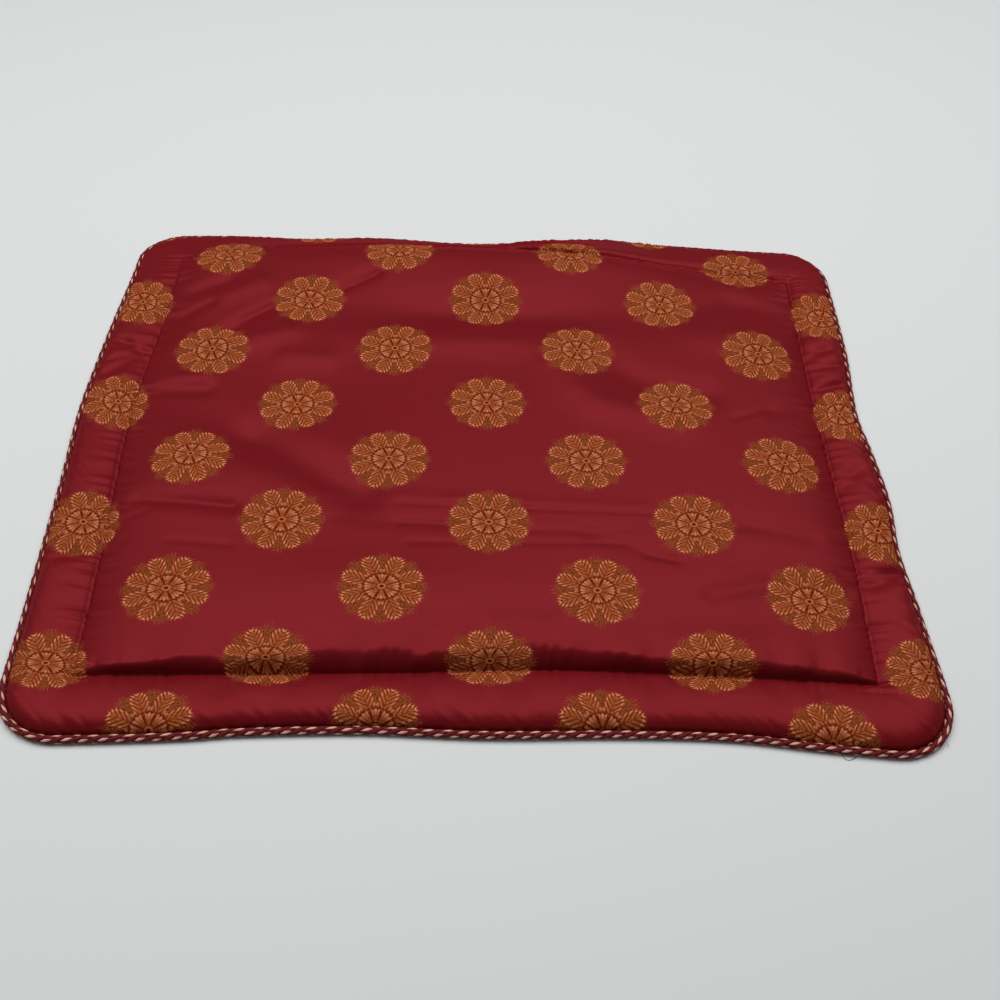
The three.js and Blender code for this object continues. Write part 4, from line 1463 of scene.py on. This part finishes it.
def tube(centres: Array, radius: float, sides: int) -> tuple[Array, Array]:
    """Sweep a round section along an open line.

    Formula: each section stands across the line, on the upright and the level directions there.

    Args:
        centres: points of the line.
        radius: the section's radius.
        sides: corners of the section.

    Returns:
        Vertices and faces.
    """
    along = np.gradient(centres, axis=0)
    along = along / np.linalg.norm(along, axis=1, keepdims=True)
    level = np.cross(along, [0, 0, 1.0])
    level /= np.maximum(np.linalg.norm(level, axis=1, keepdims=True), TINY)
    upright = np.cross(level, along)
    turn = np.arange(sides) * TURN / sides
    ring = level[:, None] * np.cos(turn)[None, :, None] + upright[:, None] * np.sin(turn)[None, :, None]
    vertices = (centres[:, None] + radius * ring).reshape(-1, 3)
    return vertices, grid_faces(len(centres), sides, closed=True)


@dataclass
class TwistedCord:
    """The cord sewn round the rim: four plies twisted together, two of them of two strands."""

    plan: Plan
    gap: float = 0.1
    radius: float = 3.5
    valley_part: float = 0.6
    pressed: float = 0.26
    plies: int = 4
    sides_in_ply: int = 8
    lead: float = 28.9
    lumps_in_lead: float = 4.05
    lump_rise: float = 0.085
    second_ply_lag: float = 0.2
    roll: float = 0.55
    roll_waves: int = 5
    roll_fine: float = 0.6
    roll_waves_fine: int = 13
    roll_start_fine: float = 1
    step: float = 1.2
    free_up_to: float = -290
    pressed_from: float = -190
    far_lift: float = 1.2
    lift_from: float = 240
    lift_up_to: float = 300

    def course(self) -> Array:
        """Centre line of the cord: the rim, pushed outwards by the gap and the cord's radius."""
        plan = self.plan
        across = np.arange(-plan.cloth_half_width, plan.cloth_half_width, 1.0)
        along = np.arange(-plan.cloth_half_depth, plan.cloth_half_depth, 1.0)
        far_x = np.full_like(along, plan.cloth_half_width)
        far_y = np.full_like(across, plan.cloth_half_depth)
        rim_x, rim_y = plan.place(
            np.concatenate([across, far_x, -across, -far_x]), np.concatenate([-far_y, along, far_y, -along]))
        rim = resample(np.stack([rim_x, rim_y], axis=-1), self.step)
        offset = self.gap + self.radius * self.fullness(rim)
        return resample(rim + outward_of(rim) * offset[:, None], self.step)

    def fullness(self, course: Array) -> Array:
        """Part of the full radius: the cord lies free at the near side and is pressed flatter elsewhere."""
        return 1 - self.pressed * smooth_between(course[:, 1], self.free_up_to, self.pressed_from)

    def build(self, finish: TwistedRayon) -> bpy.types.Object:
        """Make the cord as one twisted surface, pressed level where it meets the surface below.

        Formula: the section has a lobe for each ply, a half circle high between two valleys. It turns once
        in a lead, and rolls a little to and fro. A strand's place counts lumps along the cord and across
        its ply, so that the lumps lie level. At the far side the whole cord is lifted a little.
        """
        course = self.course()
        count = len(course)
        part = np.arange(count + 1)[:, None] / count
        turns = round(count * self.step / self.lead)
        lumps = round(turns * self.lumps_in_lead)
        sides = self.plies * self.sides_in_ply
        ply = np.arange(sides + 1)[None, :] / self.sides_in_ply
        rolled_fine = self.roll_fine * np.sin(TURN * self.roll_waves_fine * part + self.roll_start_fine)
        rolled = self.roll * (np.sin(TURN * self.roll_waves * part) + rolled_fine)
        angle = TURN * (turns * part + ply / self.plies) + rolled
        second = (ply >= self.plies / 2) * self.second_ply_lag
        strand = lumps * part + lumps / turns * ply / self.plies + second
        across_ply = 2 * (ply % 1) - 1
        reach = self.valley_part + (1 - self.valley_part) * np.sqrt(1 - across_ply**2)
        two_coloured = ply % 2 > 1
        reach = reach + self.lump_rise * two_coloured * (np.cos(2 * TURN * strand) - 1) / 2
        outward = outward_of(course)[:, None]
        radius = self.radius * self.fullness(course)[:, None]
        level = course[:, None] + outward * (radius * (reach * np.cos(angle))[:-1, :-1])[..., None]
        height = np.maximum(radius * (1 + (reach * np.sin(angle))[:-1, :-1]), 0)
        lifted = smooth_between(course[:, 1], self.lift_from, self.lift_up_to)
        height = height + self.far_lift * lifted[:, None]
        points = np.concatenate([level, height[..., None]], axis=-1).reshape(-1, 3)
        corner = grid_faces(count + 1, sides + 1)
        station, side = np.divmod(corner, sides + 1)
        faces = station % count * sides + side % sides
        pattern = np.stack([strand, np.broadcast_to(ply, strand.shape)], axis=-1).reshape(-1, 2)
        piece = add_mesh("cord", points, [faces], [True], pattern[corner].reshape(-1, 2))
        return dress(piece, finish.material(), "twisted_cord", "edge_cord")


@dataclass
class Stitching:
    """The lockstitch through the flange's seam, each stitch sunk in the groove."""

    plan: Plan
    relief: Relief
    length: float = 2.9
    pitch: float = 3.4
    radius: float = 0.26
    sag: float = 0.95
    bluntness: int = 4
    end_part: float = 0.05
    sides: int = 5
    rings: int = 5

    def build(self, finish: SewingThread) -> bpy.types.Object:
        """Make every stitch of the seam as one piece: short bowed rods, end to end.

        Formula: a rod's middle line is an arch, highest halfway and sunk at both ends. Its radius falls at
        the ends as a blunt oval's does.
        """
        plan = self.plan
        corner_x = np.array([-1, 1, 1, -1]) * plan.seam_half_width
        corner_y = np.array([-1, -1, 1, 1]) * plan.seam_half_depth
        course = resample(np.stack([corner_x, corner_y], axis=-1).astype(float), self.pitch)
        heading = np.roll(course, -1, axis=0) - course
        heading /= np.linalg.norm(heading, axis=1, keepdims=True)
        part = np.linspace(0, 1, self.rings)
        plain = course[:, None] + heading[:, None] * (part * self.length)[None, :, None]
        x, y = plan.place(plain[..., 0], plain[..., 1])
        z = self.relief.height(plain[..., 0], plain[..., 1])
        bow = self.radius + self.sag * (4 * part * (1 - part) - 1)
        centres = np.stack([x, y, z + bow], axis=-1)
        swell = self.radius * np.sqrt(np.clip(1 - (2 * part - 1) ** self.bluntness, self.end_part, 1))
        turn = np.arange(self.sides) * TURN / self.sides
        sideways = np.stack([heading[:, 1], -heading[:, 0], np.zeros(len(heading))], axis=-1)
        ring = sideways[:, None, None] * np.cos(turn)[None, None, :, None]
        ring = ring + np.array([0, 0, 1.0]) * np.sin(turn)[None, None, :, None]
        points = centres[:, :, None] + swell[None, :, None, None] * ring
        block = self.rings * self.sides
        grid = grid_faces(self.rings, self.sides, closed=True)
        starts = (np.arange(len(course)) * block)[:, None, None]
        quads = (starts + grid[None]).reshape(-1, 4)
        caps = np.arange(self.sides)
        near_caps = starts[:, 0] + caps[::-1][None]
        far_caps = starts[:, 0] + (block - self.sides + caps)[None]
        piece = add_mesh(
            "flange_stitching", points.reshape(-1, 3), [quads, near_caps, far_caps], [True, False, False])
        return dress(piece, finish.material(), "satin_face")


@dataclass
class LooseThreads:
    """The few stray threads at the rim, each by the x, y and z of the points that it passes near."""

    radius: float = 0.17
    sides: int = 5
    steps_in_span: int = 8
    most_bends: int = 4
    ends: tuple[Course, ...] = (
        ((296, -306, 2), (294.5, -311, 0.4), (295.5, -315, 0.3), (299, -316.5, 0.3), (304, -314.5, 0.5),
         (313, -309, 2)),
        ((376, -299, 3), (380, -300, 2), (382, -303, 1.6)),
    )

    def build(self, finish: SewingThread) -> bpy.types.Object:
        """Make the threads as one piece of thin tubes.

        Formula: each coordinate is the polynomial that passes closest to the points, of a low order.
        """
        vertices = []
        faces = []
        start = 0
        for end in self.ends:
            knots = np.array(end, float)
            fine = np.linspace(0, len(knots) - 1, self.steps_in_span * len(knots))
            order = min(self.most_bends, len(knots) - 1)
            bends = [np.polyfit(np.arange(len(knots)), knots[:, axis], order) for axis in range(3)]
            centres = np.stack([np.polyval(bend, fine) for bend in bends], axis=-1)
            centres[:, 2] = np.maximum(centres[:, 2], self.radius)
            skin, quads = tube(centres, self.radius, self.sides)
            vertices.append(skin)
            faces.append(quads + start)
            start += len(skin)
        piece = add_mesh("loose_threads", np.concatenate(vertices), [np.concatenate(faces)], [True])
        return dress(piece, finish.material(), "twisted_cord")


@dataclass
class Studio:
    """A plain pale floor, soft light from above and behind, and the camera at the photograph's angle.

    The camera and the floor are in millimetres, degrees and pixels, and the lamp and the view in metres.
    """

    camera_x: float = -14.05
    camera_y: float = -729.7
    camera_z: float = 834.75
    pitch: float = 51.248
    yaw: float = -1.479
    roll: float = 2.508
    focal_pixels: float = 1150
    frame_pixels: float = 1000
    centre_pixel: float = 480
    sensor: float = 36
    floor_size: float = 12000
    floor_top: float = -0.1
    lamp_width: float = 4.5
    lamp_depth: float = 1.6
    lamp_watts: float = 67
    lamp_place: tuple[float, float, float] = (-0.12, 0.65, 2.1)
    air_colour: str = "#eef1f2"
    air_strength: float = 0.15
    view_reach: float = 50

    def camera(self) -> bpy.types.Object:
        """Place the camera: it looks along +Y, pitched down, turned about Z and rolled about its own axis."""
        made = bpy.data.cameras.new("camera")
        made.sensor_width = self.sensor
        made.lens = self.focal_pixels / self.frame_pixels * self.sensor
        made.shift_x = (self.frame_pixels / 2 - self.centre_pixel) / self.frame_pixels
        made.clip_end = self.view_reach
        camera = bpy.data.objects.new("camera", made)
        turn = (
            Matrix.Rotation(math.radians(self.yaw), 4, "Z")
            @ Matrix.Rotation(math.radians(90 - self.pitch), 4, "X")
            @ Matrix.Rotation(math.radians(self.roll), 4, "Z"))
        camera.matrix_world = Matrix.Translation(
            Vector((self.camera_x, self.camera_y, self.camera_z)) * MM) @ turn
        bpy.context.scene.collection.objects.link(camera)
        bpy.context.scene.camera = camera
        return camera

    def floor(self) -> bpy.types.Object:
        """Lay the floor just under the sham."""
        half = self.floor_size / 2
        points = np.array([[-half, -half, 0], [half, -half, 0], [half, half, 0], [-half, half, 0]], float)
        points[:, 2] = self.floor_top
        floor = add_mesh("floor", points, [np.array([[0, 1, 2, 3]])], [False])
        floor.data.materials.append(StudioVinyl().material())
        return floor

    def light(self) -> bpy.types.Object:
        """Hang one wide soft light overhead, aimed at the middle of the sham."""
        made = bpy.data.lights.new("overhead", "AREA")
        made.shape = "RECTANGLE"
        made.size = self.lamp_width
        made.size_y = self.lamp_depth
        made.energy = self.lamp_watts
        lamp = bpy.data.objects.new("overhead", made)
        lamp.location = self.lamp_place
        lamp.rotation_euler = (-Vector(self.lamp_place)).to_track_quat("-Z", "Y").to_euler()
        bpy.context.scene.collection.objects.link(lamp)
        return lamp

    def air(self) -> bpy.types.World:
        """Fill the room with a faint even light."""
        world = bpy.data.worlds.new("studio_air")
        world.use_nodes = True
        background = world.node_tree.nodes["Background"]
        background.inputs["Color"].default_value = linear(self.air_colour)
        background.inputs["Strength"].default_value = self.air_strength
        bpy.context.scene.world = world
        return world

    def build(self) -> None:
        """Make the camera, the floor, the light and the air, and show colours as they are."""
        self.camera()
        self.floor()
        self.light()
        self.air()
        bpy.context.scene.view_settings.view_transform = "Standard"


def main() -> None:
    """Build the studio and every piece of the sham, and report each one."""
    logging.basicConfig(level=logging.INFO, format="%(name)s: %(message)s")
    Studio().build()
    plan = Plan()
    relief = Relief(plan)
    WaddedFront(plan, relief).build(SatinJacquard())
    BackPanel(plan, BackSide.LEFT).build(PlainSateen())
    BackPanel(plan, BackSide.RIGHT).build(PlainSateen())
    TwistedCord(plan).build(TwistedRayon())
    Stitching(plan, relief).build(SewingThread(ThreadShade.MATCHED))
    LooseThreads().build(SewingThread(ThreadShade.PALER))


if __name__ == "__main__":
    main()
